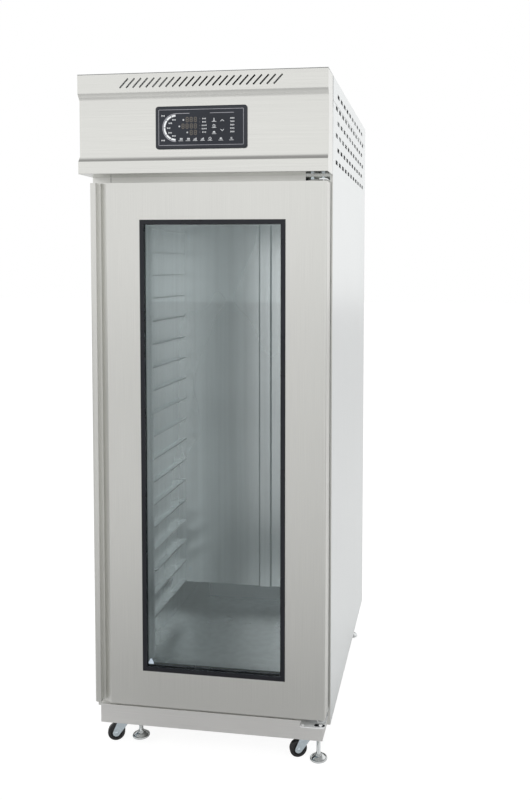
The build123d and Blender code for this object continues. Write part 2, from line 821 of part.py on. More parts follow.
# Refrigeration set on the deck
compressor_x = -150.0
compressor_y = rear_y - 240.0
compressor_foot = 3.0
compressor_foot_length = 205.0
compressor_foot_width = 140.0
compressor_foot_corner = 12.0
compressor_radius = 82.0
compressor_height = 199.0
crown_low = 168.0
crown_radius = 52.0

with BuildPart() as compressor:
    with BuildSketch(Plane.XY.offset(deck_z)) as compressor_base:
        with Locations((compressor_x, compressor_y)):
            Rectangle(compressor_foot_length, compressor_foot_width)
        chamfer(compressor_base.vertices(), compressor_foot_corner)
    extrude(amount=compressor_foot)
    with BuildSketch(Plane.XZ.offset(-compressor_y)):
        with BuildLine():
            Polyline(
                (compressor_x, deck_z),
                (compressor_x + compressor_radius, deck_z),
                (compressor_x + compressor_radius, deck_z + crown_low),
                (compressor_x + crown_radius, deck_z + compressor_height),
                (compressor_x, deck_z + compressor_height),
                close=True,
            )
        make_face()
    revolve(axis=Axis((compressor_x, compressor_y, 0), (0, 0, 1)))
compressor.part.label = "compressor"
export_step(compressor.part, "parts/compressor.step")

condenser_half = 150.0
condenser_depth = 54.0
condenser_core = 18.0
condenser_fins = 15
shroud_lead = 42.0
shroud_collar = 34.0
shroud_y = cond_fan_y - shroud_lead
condenser_mid_y = shroud_y - condenser_depth / 2
condenser_pitch = (2 * condenser_half - fin_sheet) / (condenser_fins - 1)

with BuildPart() as condenser:
    with BuildSketch(Plane.XY.offset(deck_z)):
        with Locations((0, condenser_mid_y)):
            Rectangle(2 * condenser_half, condenser_core)
            with GridLocations(condenser_pitch, 0, condenser_fins, 1):
                Rectangle(fin_sheet, condenser_depth)
    extrude(amount=condenser_height)
condenser.part.label = "condenser"
export_step(condenser.part, "parts/condenser.step")

cond_ring = cond_fan_radius + fan_tip_gap
cond_motor_gap = 12.0
cond_motor_y = cond_fan_y + cond_motor_gap
cond_motor_radius = 38.0
cond_motor_length = 60.0
cond_shaft_length = 44.0

with BuildPart() as fan_shroud:
    with BuildSketch(Plane.XZ.offset(-shroud_y)):
        with Locations((0, deck_z + condenser_height / 2)):
            Rectangle(2 * condenser_half, condenser_height)
    extrude(amount=-sheet)
    with BuildSketch(Plane.XZ.offset(-shroud_y)):
        with Locations((0, cond_fan_z)):
            Circle(cond_ring + sheet)
    extrude(amount=-shroud_collar)
    with BuildSketch(Plane.XZ.offset(-shroud_y)):
        with Locations((0, cond_fan_z)):
            Circle(cond_ring)
    extrude(amount=-shroud_collar, mode=Mode.SUBTRACT)
    with BuildSketch(Plane.XZ.offset(-cond_motor_y)):
        with Locations((0, cond_fan_z)):
            Rectangle(2 * condenser_half, strut_width)
    extrude(amount=-strut_thick)
    with BuildSketch(Plane.XZ.offset(-shroud_y)):
        with Locations((0, cond_fan_z)):
            with GridLocations(2 * condenser_half - strut_thick, 0, 2, 1):
                Rectangle(strut_thick, strut_width)
    extrude(amount=-(cond_motor_y - shroud_y))
    with BuildSketch(Plane.XZ.offset(-cond_motor_y)):
        with Locations((0, cond_fan_z)):
            Circle(cond_motor_radius)
    extrude(amount=-cond_motor_length)
    with BuildSketch(Plane.XZ.offset(-cond_motor_y)):
        with Locations((0, cond_fan_z)):
            Circle(shaft_radius)
    extrude(amount=cond_shaft_length)
fan_shroud.part.label = "fan_shroud"
export_step(fan_shroud.part, "parts/fan_shroud.step")

# Cable gland in the recessed back wall of the header
gland_side_inset = 88.0
gland_rise = 60.0
gland_x = width / 2 - gland_side_inset
gland_z = deck_z + gland_rise
gland_wall_y = rear_y - back_recess
gland_hex = 14.0
gland_cap = 10.5
gland_bore = 4.7
gland_nut = 10.0
gland_length = 20.0

with BuildPart() as power_inlet:
    with BuildSketch(Plane.XZ.offset(-gland_wall_y)):
        with Locations((gland_x, gland_z)):
            RegularPolygon(gland_hex, 6)
    extrude(amount=-gland_nut)
    with BuildSketch(Plane.XZ.offset(-gland_wall_y)):
        with Locations((gland_x, gland_z)):
            RegularPolygon(gland_cap, 12)
    extrude(amount=-gland_length)
    with BuildSketch(Plane.XZ.offset(-gland_wall_y)):
        with Locations((gland_x, gland_z)):
            Circle(gland_bore)
    extrude(amount=-gland_length, mode=Mode.SUBTRACT)
power_inlet.part.label = "power_inlet"
export_step(power_inlet.part, "parts/power_inlet.step")

# Control panel
overlay_front_y = panel_y - bezel_proud + overlay_set
overlay_back_y = overlay_front_y + overlay_thick
box_depth = 46.0
box_lip = 8.0
key_row_z = -31.6
key_row_x = (-56.5, -36.0, -16.0, 4.6, 25.8, 56.0, 85.5)
icon_key_x = 37.0
icon_key_z = (18.7, 2.3, -14.1)
arrow_key_x = 59.9
arrow_key_z = (16.6, -9.1)
key_width = 15.0
key_height = 11.4
key_places = [(place, key_row_z) for place in key_row_x]
key_places += [(icon_key_x, place) for place in icon_key_z]
key_places += [(arrow_key_x, place) for place in arrow_key_z]

with BuildPart() as panel_bezel:
    with BuildSketch(Plane.XZ.offset(-panel_y)) as bezel_outline:
        with Locations((0, bezel_z)):
            Rectangle(bezel_width, bezel_height)
        fillet(bezel_outline.vertices(), bezel_radius)
    extrude(amount=bezel_proud)
    chamfer(panel_bezel.faces().sort_by(Axis.Y)[0].edges(), bezel_proud / 2)
    with BuildSketch(Plane.XZ.offset(-panel_y)):
        with Locations((0, bezel_z)):
            Rectangle(bezel_hole_width, bezel_hole_height)
    extrude(amount=bezel_proud, mode=Mode.SUBTRACT)
panel_bezel.part.label = "panel_bezel"
export_step(panel_bezel.part, "parts/panel_bezel.step")

with BuildPart() as panel_overlay:
    with BuildSketch(Plane.XZ.offset(-overlay_back_y)):
        with Locations((0, bezel_z)):
            Rectangle(bezel_hole_width, bezel_hole_height)
    extrude(amount=overlay_thick)
    with BuildSketch(Plane.XZ.offset(-overlay_back_y)) as key_holes:
        for key_x, key_z in key_places:
            with Locations((key_x, bezel_z + key_z)):
                Rectangle(key_width + 2 * key_gap, key_height + 2 * key_gap)
        chamfer(key_holes.vertices(), key_chamfer)
    extrude(amount=overlay_thick, mode=Mode.SUBTRACT)
panel_overlay.part.label = "panel_overlay"
export_step(panel_overlay.part, "parts/panel_overlay.step")

key_back_y = overlay_front_y - key_proud + key_thick
for number, (key_x, key_z) in enumerate(key_places, start=1):
    with BuildPart() as key:
        with BuildSketch(Plane.XZ.offset(-key_back_y)) as key_face:
            with Locations((key_x, bezel_z + key_z)):
                Rectangle(key_width, key_height)
            chamfer(key_face.vertices(), key_chamfer)
        extrude(amount=key_thick)
    key.part.label = f"key_{number:02d}"
    export_step(key.part, f"parts/key_{number:02d}.step")

with BuildPart() as control_box:
    with BuildSketch(Plane.XZ.offset(-overlay_back_y)):
        with Locations((0, bezel_z)):
            Rectangle(bezel_hole_width - 2 * control_margin, bezel_hole_height - 2 * control_margin)
    extrude(amount=-box_depth)
    with BuildSketch(Plane.XZ.offset(-panel_y - sheet)):
        with Locations((0, bezel_z)):
            Rectangle(bezel_hole_width + 2 * box_lip, bezel_hole_height + 2 * box_lip)
    extrude(amount=-sheet)
control_box.part.label = "control_box"
export_step(control_box.part, "parts/control_box.step")

# Hinge brackets, each with its pin, on the face plate above and below the door
bracket_x = hinge_x + bracket_nose - bracket_length / 2
bracket_levels = (
    (
        door_bottom - bracket_gap - bracket_plate,
        base_z + bracket_low_clear,
        door_bottom - bracket_gap,
        1,
    ),
    (door_top + bracket_gap, door_top + bracket_gap, deck_z - bracket_high_clear, -1),
)

with BuildPart() as hinge_brackets:
    for arm_z, leg_low, leg_high, way in bracket_levels:
        with BuildSketch(Plane.XY.offset(arm_z)):
            with Locations((hinge_x, hinge_y)):
                Circle(bracket_nose)
            with Locations((bracket_x, frame_y - bracket_plate / 2)):
                Rectangle(bracket_length, bracket_plate)
            make_hull()
        extrude(amount=bracket_plate)
        with BuildSketch(Plane.XY.offset(leg_low)):
            with Locations((bracket_x, frame_y - bracket_plate / 2)):
                Rectangle(bracket_length, bracket_plate)
        extrude(amount=leg_high - leg_low)
        with BuildSketch(Plane.XY.offset(arm_z + bracket_plate / 2)):
            with Locations((hinge_x, hinge_y)):
                Circle(hinge_pin)
        extrude(amount=way * (bracket_plate / 2 + bracket_gap + hinge_engage))
hinge_brackets.part.label = "hinge_brackets"
export_step(hinge_brackets.part, "parts/hinge_brackets.step")

# Door
face_width = door_right - face_left
face_mid_x = (door_right + face_left) / 2
door_height = door_top - door_bottom
door_mid_z = (door_top + door_bottom) / 2
skin_back_y = door_back_y - sheet
bore_depth = hinge_engage + hinge_bore_spare
bore_radius = hinge_pin + running

with BuildPart() as door_skin:
    with BuildSketch(Plane.XZ.offset(-skin_back_y)):
        with Locations((face_mid_x, door_mid_z)):
            Rectangle(face_width, door_height)
    extrude(amount=door_thick - sheet)
    fillet(
        door_skin.edges().filter_by(Axis.Z).group_by(Axis.X)[-1].sort_by(Axis.Y)[0], door_edge_radius
    )
    with BuildSketch(Plane.XY.offset(door_bottom + sheet)) as skin_inside:
        with Locations((face_mid_x - sheet / 2, (door_y + skin_back_y + sheet) / 2)):
            Rectangle(face_width - sheet, door_thick - 2 * sheet)
        fillet(
            skin_inside.vertices().group_by(Axis.X)[-1].sort_by(Axis.Y)[0], door_edge_radius - sheet
        )
    extrude(amount=door_height - 2 * sheet, mode=Mode.SUBTRACT)
    with BuildSketch(Plane.XZ.offset(-door_y)):
        with Locations((window_centre_x, window_centre_z)):
            Rectangle(window_hole_width, window_hole_height)
    extrude(amount=-2 * sheet, mode=Mode.SUBTRACT)
    with BuildSketch(Plane.XY.offset(door_bottom)):
        with Locations((hinge_x, hinge_y)):
            Circle(bore_radius)
    extrude(amount=door_height, mode=Mode.SUBTRACT)
door_skin.part.label = "door_skin"
export_step(door_skin.part, "parts/door_skin.step")

with BuildPart() as door_foam:
    with BuildSketch(Plane.XY.offset(door_bottom + sheet)) as foam_plan:
        with Locations((face_mid_x - sheet / 2, (door_y + skin_back_y + sheet) / 2)):
            Rectangle(face_width - sheet, door_thick - 2 * sheet)
        fillet(
            foam_plan.vertices().group_by(Axis.X)[-1].sort_by(Axis.Y)[0], door_edge_radius - sheet
        )
    extrude(amount=door_height - 2 * sheet)
    with BuildSketch(Plane.XZ.offset(-door_y)):
        with Locations((window_centre_x, window_centre_z)):
            Rectangle(window_hole_width, window_hole_height)
    extrude(amount=-door_thick, mode=Mode.SUBTRACT)
    for bore_z, way in ((door_bottom, 1), (door_top, -1)):
        with BuildSketch(Plane.XY.offset(bore_z)):
            with Locations((hinge_x, hinge_y)):
                Circle(hinge_pin + slip)
        extrude(amount=way * bore_depth, mode=Mode.SUBTRACT)
door_foam.part.label = "door_foam"
export_step(door_foam.part, "parts/door_foam.step")

with BuildPart() as door_liner:
    with BuildSketch(Plane.XZ.offset(-door_back_y)):
        with Locations(((door_left + door_right) / 2, door_mid_z)):
            Rectangle(door_right - door_left, door_height)
        with Locations((window_centre_x, window_centre_z)):
            Rectangle(window_hole_width, window_hole_height, mode=Mode.SUBTRACT)
    extrude(amount=sheet)
door_liner.part.label = "door_liner"
export_step(door_liner.part, "parts/door_liner.step")

# Full-height pull: a rolled lip, a finger groove and a slope up to the door's face
lip_right = door_left + grip_lip
groove_right = lip_right + grip_groove
groove_y = door_y + grip_depth

with BuildPart() as door_grip:
    with BuildSketch(Plane.XY.offset(door_bottom)) as grip_profile:
        with BuildLine():
            Polyline(
                (door_left, skin_back_y),
                (door_left, door_y),
                (lip_right, door_y),
                (lip_right, groove_y),
                (groove_right, groove_y),
                (face_left, door_y),
                (face_left, skin_back_y),
                close=True,
            )
        make_face()
        outer_corner = grip_profile.vertices().sort_by_distance((door_left, door_y, door_bottom))[0]
        fillet(outer_corner, grip_lip_radius)
        inner_corner = grip_profile.vertices().sort_by_distance((lip_right, door_y, door_bottom))[0]
        fillet(inner_corner, grip_edge_radius)
    extrude(amount=door_height)
    with BuildSketch(Plane.XY.offset(door_bottom + grip_wall)):
        offset(grip_profile.sketch_local, amount=-grip_wall, kind=Kind.INTERSECTION)
        with Locations(((door_left + face_left) / 2, skin_back_y - grip_wall)):
            Rectangle(grip_width - 2 * grip_wall, 4 * grip_wall)
    extrude(amount=door_height - 2 * grip_wall, mode=Mode.SUBTRACT)
door_grip.part.label = "door_grip"
export_step(door_grip.part, "parts/door_grip.step")

gasket_left = door_left + gasket_inset
gasket_right = hinge_x + gasket_past_hinge
gasket_low = door_bottom + gasket_inset
gasket_high = door_top - gasket_inset
gasket_mid_x = (gasket_left + gasket_right) / 2
gasket_mid_z = (gasket_low + gasket_high) / 2
gasket_thick = gasket_gap - gasket_clear

with BuildPart() as door_gasket:
    with BuildSketch(Plane.XZ.offset(-door_back_y)):
        with Locations((gasket_mid_x, gasket_mid_z)):
            Rectangle(gasket_right - gasket_left, gasket_high - gasket_low)
            Rectangle(
                gasket_right - gasket_left - 2 * gasket_width,
                gasket_high - gasket_low - 2 * gasket_width,
                mode=Mode.SUBTRACT,
            )
    extrude(amount=-gasket_thick)
    chamfer(door_gasket.faces().sort_by(Axis.Y)[-1].edges(), gasket_chamfer)
door_gasket.part.label = "door_gasket"
export_step(door_gasket.part, "parts/door_gasket.step")

# Window: frame with a rebate for two panes and the rib between them
sight_width = pane_width - 2 * window_lip
sight_height = pane_height - 2 * window_lip
pane_y = door_y + window_setback
inner_pane_y = pane_y + pane + pane_air
window_front_y = door_y - window_proud

with BuildPart() as window_frame:
    with BuildSketch(Plane.XZ.offset(-window_front_y)):
        with Locations((window_centre_x, window_centre_z)):
            Rectangle(window_width, window_height)
    extrude(amount=-window_proud)
    chamfer(window_frame.faces().sort_by(Axis.Y)[0].edges(), window_proud / 2)
    with BuildSketch(Plane.XZ.offset(-window_front_y)):
        with Locations((window_centre_x, window_centre_z)):
            Rectangle(window_hole_width, window_hole_height)
    extrude(amount=-(door_thick + window_proud))
    with BuildSketch(Plane.XZ.offset(-door_back_y)):
        with Locations((window_centre_x, window_centre_z)):
            Rectangle(window_width, window_height)
    extrude(amount=-window_back_flange)
    with BuildSketch(Plane.XZ.offset(-window_front_y)):
        with Locations((window_centre_x, window_centre_z)):
            Rectangle(sight_width, sight_height)
    extrude(amount=-2 * door_thick, mode=Mode.SUBTRACT)
    for rebate_y in (pane_y, inner_pane_y):
        with BuildSketch(Plane.XZ.offset(-rebate_y)):
            with Locations((window_centre_x, window_centre_z)):
                Rectangle(pane_width, pane_height)
        extrude(amount=-pane, mode=Mode.SUBTRACT)
window_frame.part.label = "window_frame"
export_step(window_frame.part, "parts/window_frame.step")

for pane_name, glass_y in (("glass_outer", pane_y), ("glass_inner", inner_pane_y)):
    with BuildPart() as glass_pane:
        with BuildSketch(Plane.XZ.offset(-glass_y)):
            with Locations((window_centre_x, window_centre_z)):
                Rectangle(pane_width, pane_height)
        extrude(amount=-pane)
    glass_pane.part.label = pane_name
    export_step(glass_pane.part, f"parts/{pane_name}.step")

# Nuts of the feet, castor bolts, hinge screws and the screws of the false back
bolt_radius = 6.0
bolt_height = 4.0
bolt_edge = 6.0
screw_radius = 5.0
screw_height = 2.0
screw_inset = 15.0
screw_rise = 48.0

with BuildPart() as fasteners:
    for foot_name, foot_x, foot_y, foot_z in foot_places:
        with BuildSketch(Plane.XY.offset(castor_height + plinth_sheet)):
            with Locations((foot_x, foot_y)):
                RegularPolygon(nut_flats / 2, 6, major_radius=False, rotation=30)
                Circle(stem_radius + running, mode=Mode.SUBTRACT)
        extrude(amount=nut_height)
    with BuildSketch(Plane.XY.offset(plate_z - bolt_height)):
        for castor_name, pivot_x, pivot_y in castor_places:
            with Locations((pivot_x, pivot_y)):
                with GridLocations(castor_plate_x - 2 * bolt_edge, castor_plate_y - 2 * bolt_edge, 2, 2):
                    RegularPolygon(bolt_radius, 6)
    extrude(amount=bolt_height)
    for arm_z, leg_low, leg_high, way in bracket_levels:
        with BuildSketch(Plane.XZ.offset(-frame_y + bracket_plate)):
            with Locations((bracket_x, (leg_low + leg_high) / 2 - way)):
                with GridLocations(2 * screw_inset, 0, 2, 1):
                    RegularPolygon(screw_radius, 6)
        extrude(amount=screw_height)
    with BuildSketch(Plane.XZ.offset(-duct_y)):
        with Locations((0, (duct_bottom + duct_top) / 2)):
            with GridLocations(
                2 * (chamber_x - screw_inset), duct_top - duct_bottom - 2 * screw_rise, 2, 2
            ):
                RegularPolygon(screw_radius, 8)
    extrude(amount=screw_height)
fasteners.part.label = "fasteners"
export_step(fasteners.part, "parts/fasteners.step")
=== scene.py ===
import json
from math import cos, pi, radians, sin

import bmesh
import bpy
from mathutils import Matrix, Vector


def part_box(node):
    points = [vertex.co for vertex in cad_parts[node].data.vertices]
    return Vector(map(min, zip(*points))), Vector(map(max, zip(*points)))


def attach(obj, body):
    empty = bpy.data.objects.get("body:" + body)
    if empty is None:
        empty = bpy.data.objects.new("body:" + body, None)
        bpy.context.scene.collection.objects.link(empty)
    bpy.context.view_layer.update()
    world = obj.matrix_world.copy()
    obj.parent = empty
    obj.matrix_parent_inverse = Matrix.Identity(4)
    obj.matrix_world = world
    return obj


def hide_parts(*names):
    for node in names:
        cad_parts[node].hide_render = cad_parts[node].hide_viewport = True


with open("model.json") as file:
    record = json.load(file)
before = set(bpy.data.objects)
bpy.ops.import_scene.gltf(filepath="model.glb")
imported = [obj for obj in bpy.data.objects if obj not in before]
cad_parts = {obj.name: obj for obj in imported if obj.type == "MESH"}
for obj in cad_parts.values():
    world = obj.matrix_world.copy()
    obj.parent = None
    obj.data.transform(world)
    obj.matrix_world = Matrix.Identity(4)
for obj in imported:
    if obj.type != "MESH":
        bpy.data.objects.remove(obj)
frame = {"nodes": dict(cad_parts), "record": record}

# Retarder proofer with one glazed door. Metres, +Z up, front towards -Y.
scene = bpy.context.scene
nodes = frame["nodes"]
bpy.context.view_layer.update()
corners = ("front_right", "front_left", "rear_right", "rear_left")
print("frame loaded:", len(nodes), "nodes")


# Materials: small helpers that wire patterns on Object coordinates into a Principled shader
def newFinish(name, colour, roughness, metallic=0.0, extra=None):
    finish = bpy.data.materials.new(name)
    finish.use_nodes = True
    shader = finish.node_tree.nodes["Principled BSDF"]
    shader.inputs["Base Color"].default_value = (*colour, 1)
    shader.inputs["Roughness"].default_value = roughness
    shader.inputs["Metallic"].default_value = metallic
    for socket, value in (extra or {}).items():
        shader.inputs[socket].default_value = value
    return finish, finish.node_tree, shader


def addPattern(tree, stretch, detail=3.0, kind="ShaderNodeTexNoise"):
    place = tree.nodes.new("ShaderNodeTexCoord")
    mapping = tree.nodes.new("ShaderNodeMapping")
    mapping.inputs["Scale"].default_value = stretch
    pattern = tree.nodes.new(kind)
    pattern.inputs["Scale"].default_value = 1.0
    if kind == "ShaderNodeTexNoise":
        pattern.inputs["Detail"].default_value = detail
    tree.links.new(place.outputs["Object"], mapping.inputs["Vector"])
    tree.links.new(mapping.outputs["Vector"], pattern.inputs["Vector"])
    return pattern.outputs[0]


def spreadTo(tree, value, low, high, socket):
    spread = tree.nodes.new("ShaderNodeMapRange")
    spread.interpolation_type = "SMOOTHSTEP"
    spread.inputs["From Min"].default_value = 0.2
    spread.inputs["From Max"].default_value = 0.8
    spread.inputs["To Min"].default_value = low
    spread.inputs["To Max"].default_value = high
    tree.links.new(value, spread.inputs["Value"])
    tree.links.new(spread.outputs["Result"], socket)


def blendColour(tree, value, dark, light, socket):
    ramp = tree.nodes.new("ShaderNodeValToRGB")
    ramp.color_ramp.interpolation = "EASE"
    ramp.color_ramp.elements[0].position = 0.25
    ramp.color_ramp.elements[0].color = (*dark, 1)
    ramp.color_ramp.elements[1].position = 0.75
    ramp.color_ramp.elements[1].color = (*light, 1)
    tree.links.new(value, ramp.inputs["Fac"])
    tree.links.new(ramp.outputs["Color"], socket)


def addBump(tree, value, shader, strength, distance):
    bump = tree.nodes.new("ShaderNodeBump")
    bump.inputs["Strength"].default_value = strength
    bump.inputs["Distance"].default_value = distance
    tree.links.new(value, bump.inputs["Height"])
    tree.links.new(bump.outputs["Normal"], shader.inputs["Normal"])


def tinted(colour, factor):
    return tuple(min(channel * factor, 1.0) for channel in colour)


def brushedMetal(name, colour, grain, rough, tone=0.04, bump=0.12):
    # Grain holds the waves per metre along X, Y and Z: the fewest where the brushing runs
    finish, tree, shader = newFinish(name, colour, rough[0], 1.0)
    lines = addPattern(tree, grain, 4.0)
    clouds = addPattern(tree, (2.3, 2.3, 1.1), 2.0)
    blendColour(tree, lines, tinted(colour, 1 - tone), tinted(colour, 1 + tone), shader.inputs["Base Color"])
    spreadTo(tree, clouds, rough[0], rough[1], shader.inputs["Roughness"])
    addBump(tree, lines, shader, bump, 0.00002)
    return finish


def mouldedFinish(name, colour, rough, grainSize, bump, extra=None):
    finish, tree, shader = newFinish(name, colour, rough[0], 0.0, extra)
    perMetre = 1.0 / grainSize
    grain = addPattern(tree, (perMetre, perMetre, perMetre), 2.0)
    handled = addPattern(tree, (9.0, 9.0, 9.0), 2.0)
    blendColour(tree, handled, tinted(colour, 0.86), tinted(colour, 1.14), shader.inputs["Base Color"])
    spreadTo(tree, handled, rough[0], rough[1], shader.inputs["Roughness"])
    addBump(tree, grain, shader, bump, grainSize / 8)
    return finish


steel = (0.735, 0.735, 0.705)
alongZ = (1500.0, 1500.0, 6.0)
alongX = (6.0, 1500.0, 1500.0)
finishes = {
    "stainless": brushedMetal("stainless_upright", steel, alongZ, (0.27, 0.36)),
    "zinc_sheet": brushedMetal("zinc_sheet", (0.56, 0.57, 0.57), (60.0, 60.0, 60.0), (0.34, 0.50), 0.10),
    "chamber_steel": brushedMetal(
        "chamber_steel", (0.72, 0.76, 0.765), (44.0, 44.0, 0.8), (0.26, 0.33), 0.07, 0.02
    ),
    "foam": mouldedFinish("foam", (0.80, 0.72, 0.48), (0.85, 0.95), 0.002, 0.5),
    "black_trim": mouldedFinish(
        "black_trim", (0.008, 0.009, 0.013), (0.24, 0.32), 0.0006, 0.10, {"Specular IOR Level": 0.35}
    ),
    "bezel_plastic": mouldedFinish("bezel_plastic", (0.014, 0.017, 0.024), (0.28, 0.38), 0.0005, 0.18),
    "overlay_film": mouldedFinish(
        "overlay_film", (0.022, 0.025, 0.033), (0.34, 0.42), 0.0007, 0.06, {"Specular IOR Level": 0.3}
    ),
    "key_film": mouldedFinish(
        "key_film", (0.024, 0.027, 0.036), (0.32, 0.40), 0.0007, 0.06, {"Specular IOR Level": 0.3}
    ),
    "seal_rubber": mouldedFinish("seal_rubber", (0.13, 0.13, 0.135), (0.55, 0.70), 0.0010, 0.20),
    "wheel_rubber": mouldedFinish("wheel_rubber", (0.012, 0.012, 0.013), (0.34, 0.48), 0.0008, 0.18),
    "zinc_plate": brushedMetal("zinc_plate", (0.66, 0.74, 0.79), (160.0, 160.0, 160.0), (0.22, 0.36), 0.08),
    "chrome": brushedMetal("chrome", (0.74, 0.76, 0.76), (240.0, 240.0, 240.0), (0.06, 0.14), 0.03, 0.03),
    "fin_aluminium": brushedMetal(
        "fin_aluminium", (0.66, 0.67, 0.68), (40.0, 700.0, 40.0), (0.30, 0.45), 0.08
    ),
    "black_enamel": mouldedFinish("black_enamel", (0.012, 0.012, 0.013), (0.18, 0.28), 0.004, 0.12),
    "fan_plastic": mouldedFinish("fan_plastic", (0.022, 0.022, 0.024), (0.38, 0.50), 0.0008, 0.15),
}
stainlessAcross = brushedMetal("stainless_across", steel, alongX, (0.17, 0.24))
# A paler copy of the stainless for the top, header wrap and sides: painted light, so these faces read
# brighter
litStainlessSide = brushedMetal("stainless_side_painted_light", (0.84, 0.86, 0.86), alongZ, (0.30, 0.38))
plinthSteel = brushedMetal("plinth_steel", (0.78, 0.775, 0.76), alongX, (0.44, 0.54))
# A dark copy of steel: painted shade for the humidifier pieces under the false back
paintedShadeSteel = brushedMetal("painted_shade_steel", (0.20, 0.22, 0.23), alongX, (0.34, 0.44))
# A paler steel for the runner hems: painted highlight lines
hemHighlightSteel = mouldedFinish("hem_painted_highlight", (0.80, 0.83, 0.83), (0.30, 0.40), 0.002, 0.04, {"Metallic": 0.5})
hingeZinc = mouldedFinish("hinge_zinc", (0.84, 0.85, 0.85), (0.26, 0.34), 0.002, 0.04, {"Metallic": 0.3})
whiteInk = mouldedFinish("white_ink", (0.78, 0.80, 0.82), (0.40, 0.50), 0.0004, 0.05)
greyInk = mouldedFinish("grey_ink", (0.30, 0.30, 0.33), (0.35, 0.45), 0.0004, 0.05)
unlitSegment = mouldedFinish("unlit_segment", (0.155, 0.135, 0.110), (0.30, 0.40), 0.0004, 0.04)
seamShade = mouldedFinish("seam_shade", (0.035, 0.036, 0.038), (0.50, 0.60), 0.0006, 0.10)
paleSpot = mouldedFinish("pale_spot", (0.56, 0.65, 0.74), (0.35, 0.45), 0.0004, 0.05)


def glassFinish(name):
    # A thin mirror share over a clear pane: each face sends a little of the room back
    finish, tree, shader = newFinish(name, (0.74, 0.86, 0.87), 0.02, 1.0, {"Alpha": 0.060})
    film = addPattern(tree, (14.0, 14.0, 4.0), 3.0)
    spreadTo(tree, film, 0.010, 0.045, shader.inputs["Roughness"])
    return finish


finishes["glass"] = glassFinish("clear_glass")
for subpart in frame["record"]["subparts"]:
    slots = nodes[subpart["node"]].data.materials
    slots.clear()
    slots.append(finishes[subpart["material_slot"]])
    # The humidifier pieces take the dark copy: painted shade, as they sit in the dark gap under the false
    # back
    if subpart["node"].startswith("humidifier"):
        slots[0] = paintedShadeSteel
print("materials:", len(bpy.data.materials))


# Pieces
def makePiece(name, form, body, finish, sharp=30.0):
    mesh = bpy.data.meshes.new(name)
    form.to_mesh(mesh)
    form.free()
    mesh.materials.append(finish)
    for face in mesh.polygons:
        face.use_smooth = True
    mesh.set_sharp_from_angle(angle=radians(sharp))
    piece = bpy.data.objects.new(name, mesh)
    scene.collection.objects.link(piece)
    weighted = piece.modifiers.new("even_shading", "WEIGHTED_NORMAL")
    weighted.keep_sharp = True
    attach(piece, body)
    return piece


def faceWidth(face):
    return face.calc_area() / max(edge.calc_length() for edge in face.edges)


# Sheet metal and mouldings: the CAD shape with its outer folds rounded
softening = {
    "header_fascia": ("cabinet", "stainless", stainlessAcross, 0.0012),
    "top_cover": ("cabinet", "stainless", litStainlessSide, 0.0012),
    "header_wrap": ("cabinet", "stainless", litStainlessSide, 0.0012),
    "outer_shell": ("cabinet", "stainless", litStainlessSide, 0.0010),
    "front_frame": ("cabinet", "stainless", finishes["stainless"], 0.0008),
    "plinth": ("cabinet", "zinc_sheet", plinthSteel, 0.0014),
    "hinge_brackets": ("cabinet", "chrome", finishes["chrome"], 0.0007),
    "panel_bezel": ("cabinet", "bezel_plastic", finishes["bezel_plastic"], 0.0008),
    "door_skin": ("door", "stainless", finishes["stainless"], 0.0012),
    "window_frame": ("door", "black_trim", finishes["black_trim"], 0.0009),
}
foldAngle = radians(28)
narrowestFace = 0.0045
vents = {
    "nodes": ("header_wrap", "top_cover"), "firstRow": 0.043, "rowPitch": 0.038, "rows": 6,
    "halfHigh": 0.0035, "tallHalf": 0.0060, "wall": 0.004, "near": 0.0002,
}


def openVents(form):
    # The side slots are taller than in the sheet's solid: their edges move up and down
    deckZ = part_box("header_wrap")[0].z
    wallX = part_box("header_wrap")[1].x - vents["wall"]
    for vert in form.verts:
        for row in range(vents["rows"]):
            level = deckZ + vents["firstRow"] + row * vents["rowPitch"]
            offset = vert.co.z - level
            if abs(vert.co.x) > wallX and abs(abs(offset) - vents["halfHigh"]) < vents["near"]:
                vert.co.z = level + vents["tallHalf"] * (1 if offset > 0 else -1)


def softenedCopy(nodeName, body, slotName, finish, radius):
    form = bmesh.new()
    form.from_mesh(nodes[nodeName].data)
    bmesh.ops.remove_doubles(form, verts=form.verts, dist=2e-6)
    if nodeName in vents["nodes"]:
        openVents(form)
    bmesh.ops.dissolve_limit(form, angle_limit=radians(1), verts=form.verts, edges=form.edges)
    folds = []
    for edge in form.edges:
        if not edge.is_manifold or not edge.is_convex:
            continue
        wide = min(faceWidth(face) for face in edge.link_faces) > narrowestFace
        if wide and edge.calc_face_angle(0.0) > foldAngle:
            folds.append(edge)
    bmesh.ops.bevel(
        form, geom=folds, offset=radius, segments=3, profile=0.5, affect="EDGES", material=-1
    )
    piece = makePiece(f"{nodeName}_formed", form, body, finish)
    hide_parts(nodeName)
    return piece


for nodeName, settings in softening.items():
    softenedCopy(nodeName, *settings)
print("sheet pieces:", len(softening))


def addBlock(form, low, high, turn=0.0):
    # A block between two corners, turned about an axis along Y through its own middle
    made = bmesh.ops.create_cube(form, size=1.0)["verts"]
    low = Vector(low)
    high = Vector(high)
    middle = (low + high) / 2
    bmesh.ops.scale(form, vec=high - low, verts=made)
    if turn:
        bmesh.ops.rotate(form, cent=(0, 0, 0), matrix=Matrix.Rotation(turn, 3, "Y"), verts=made)
    bmesh.ops.translate(form, vec=middle, verts=made)


def addCone(form, place, lowRadius, highRadius, tall, steps):
    # A round or many-sided boss that stands on a point
    made = bmesh.ops.create_cone(
        form, cap_ends=True, segments=steps, radius1=lowRadius, radius2=highRadius, depth=tall
    )["verts"]
    bmesh.ops.translate(form, vec=Vector(place) + Vector((0, 0, tall / 2)), verts=made)


quarterTurn = Matrix.Rotation(radians(90), 3, "X")


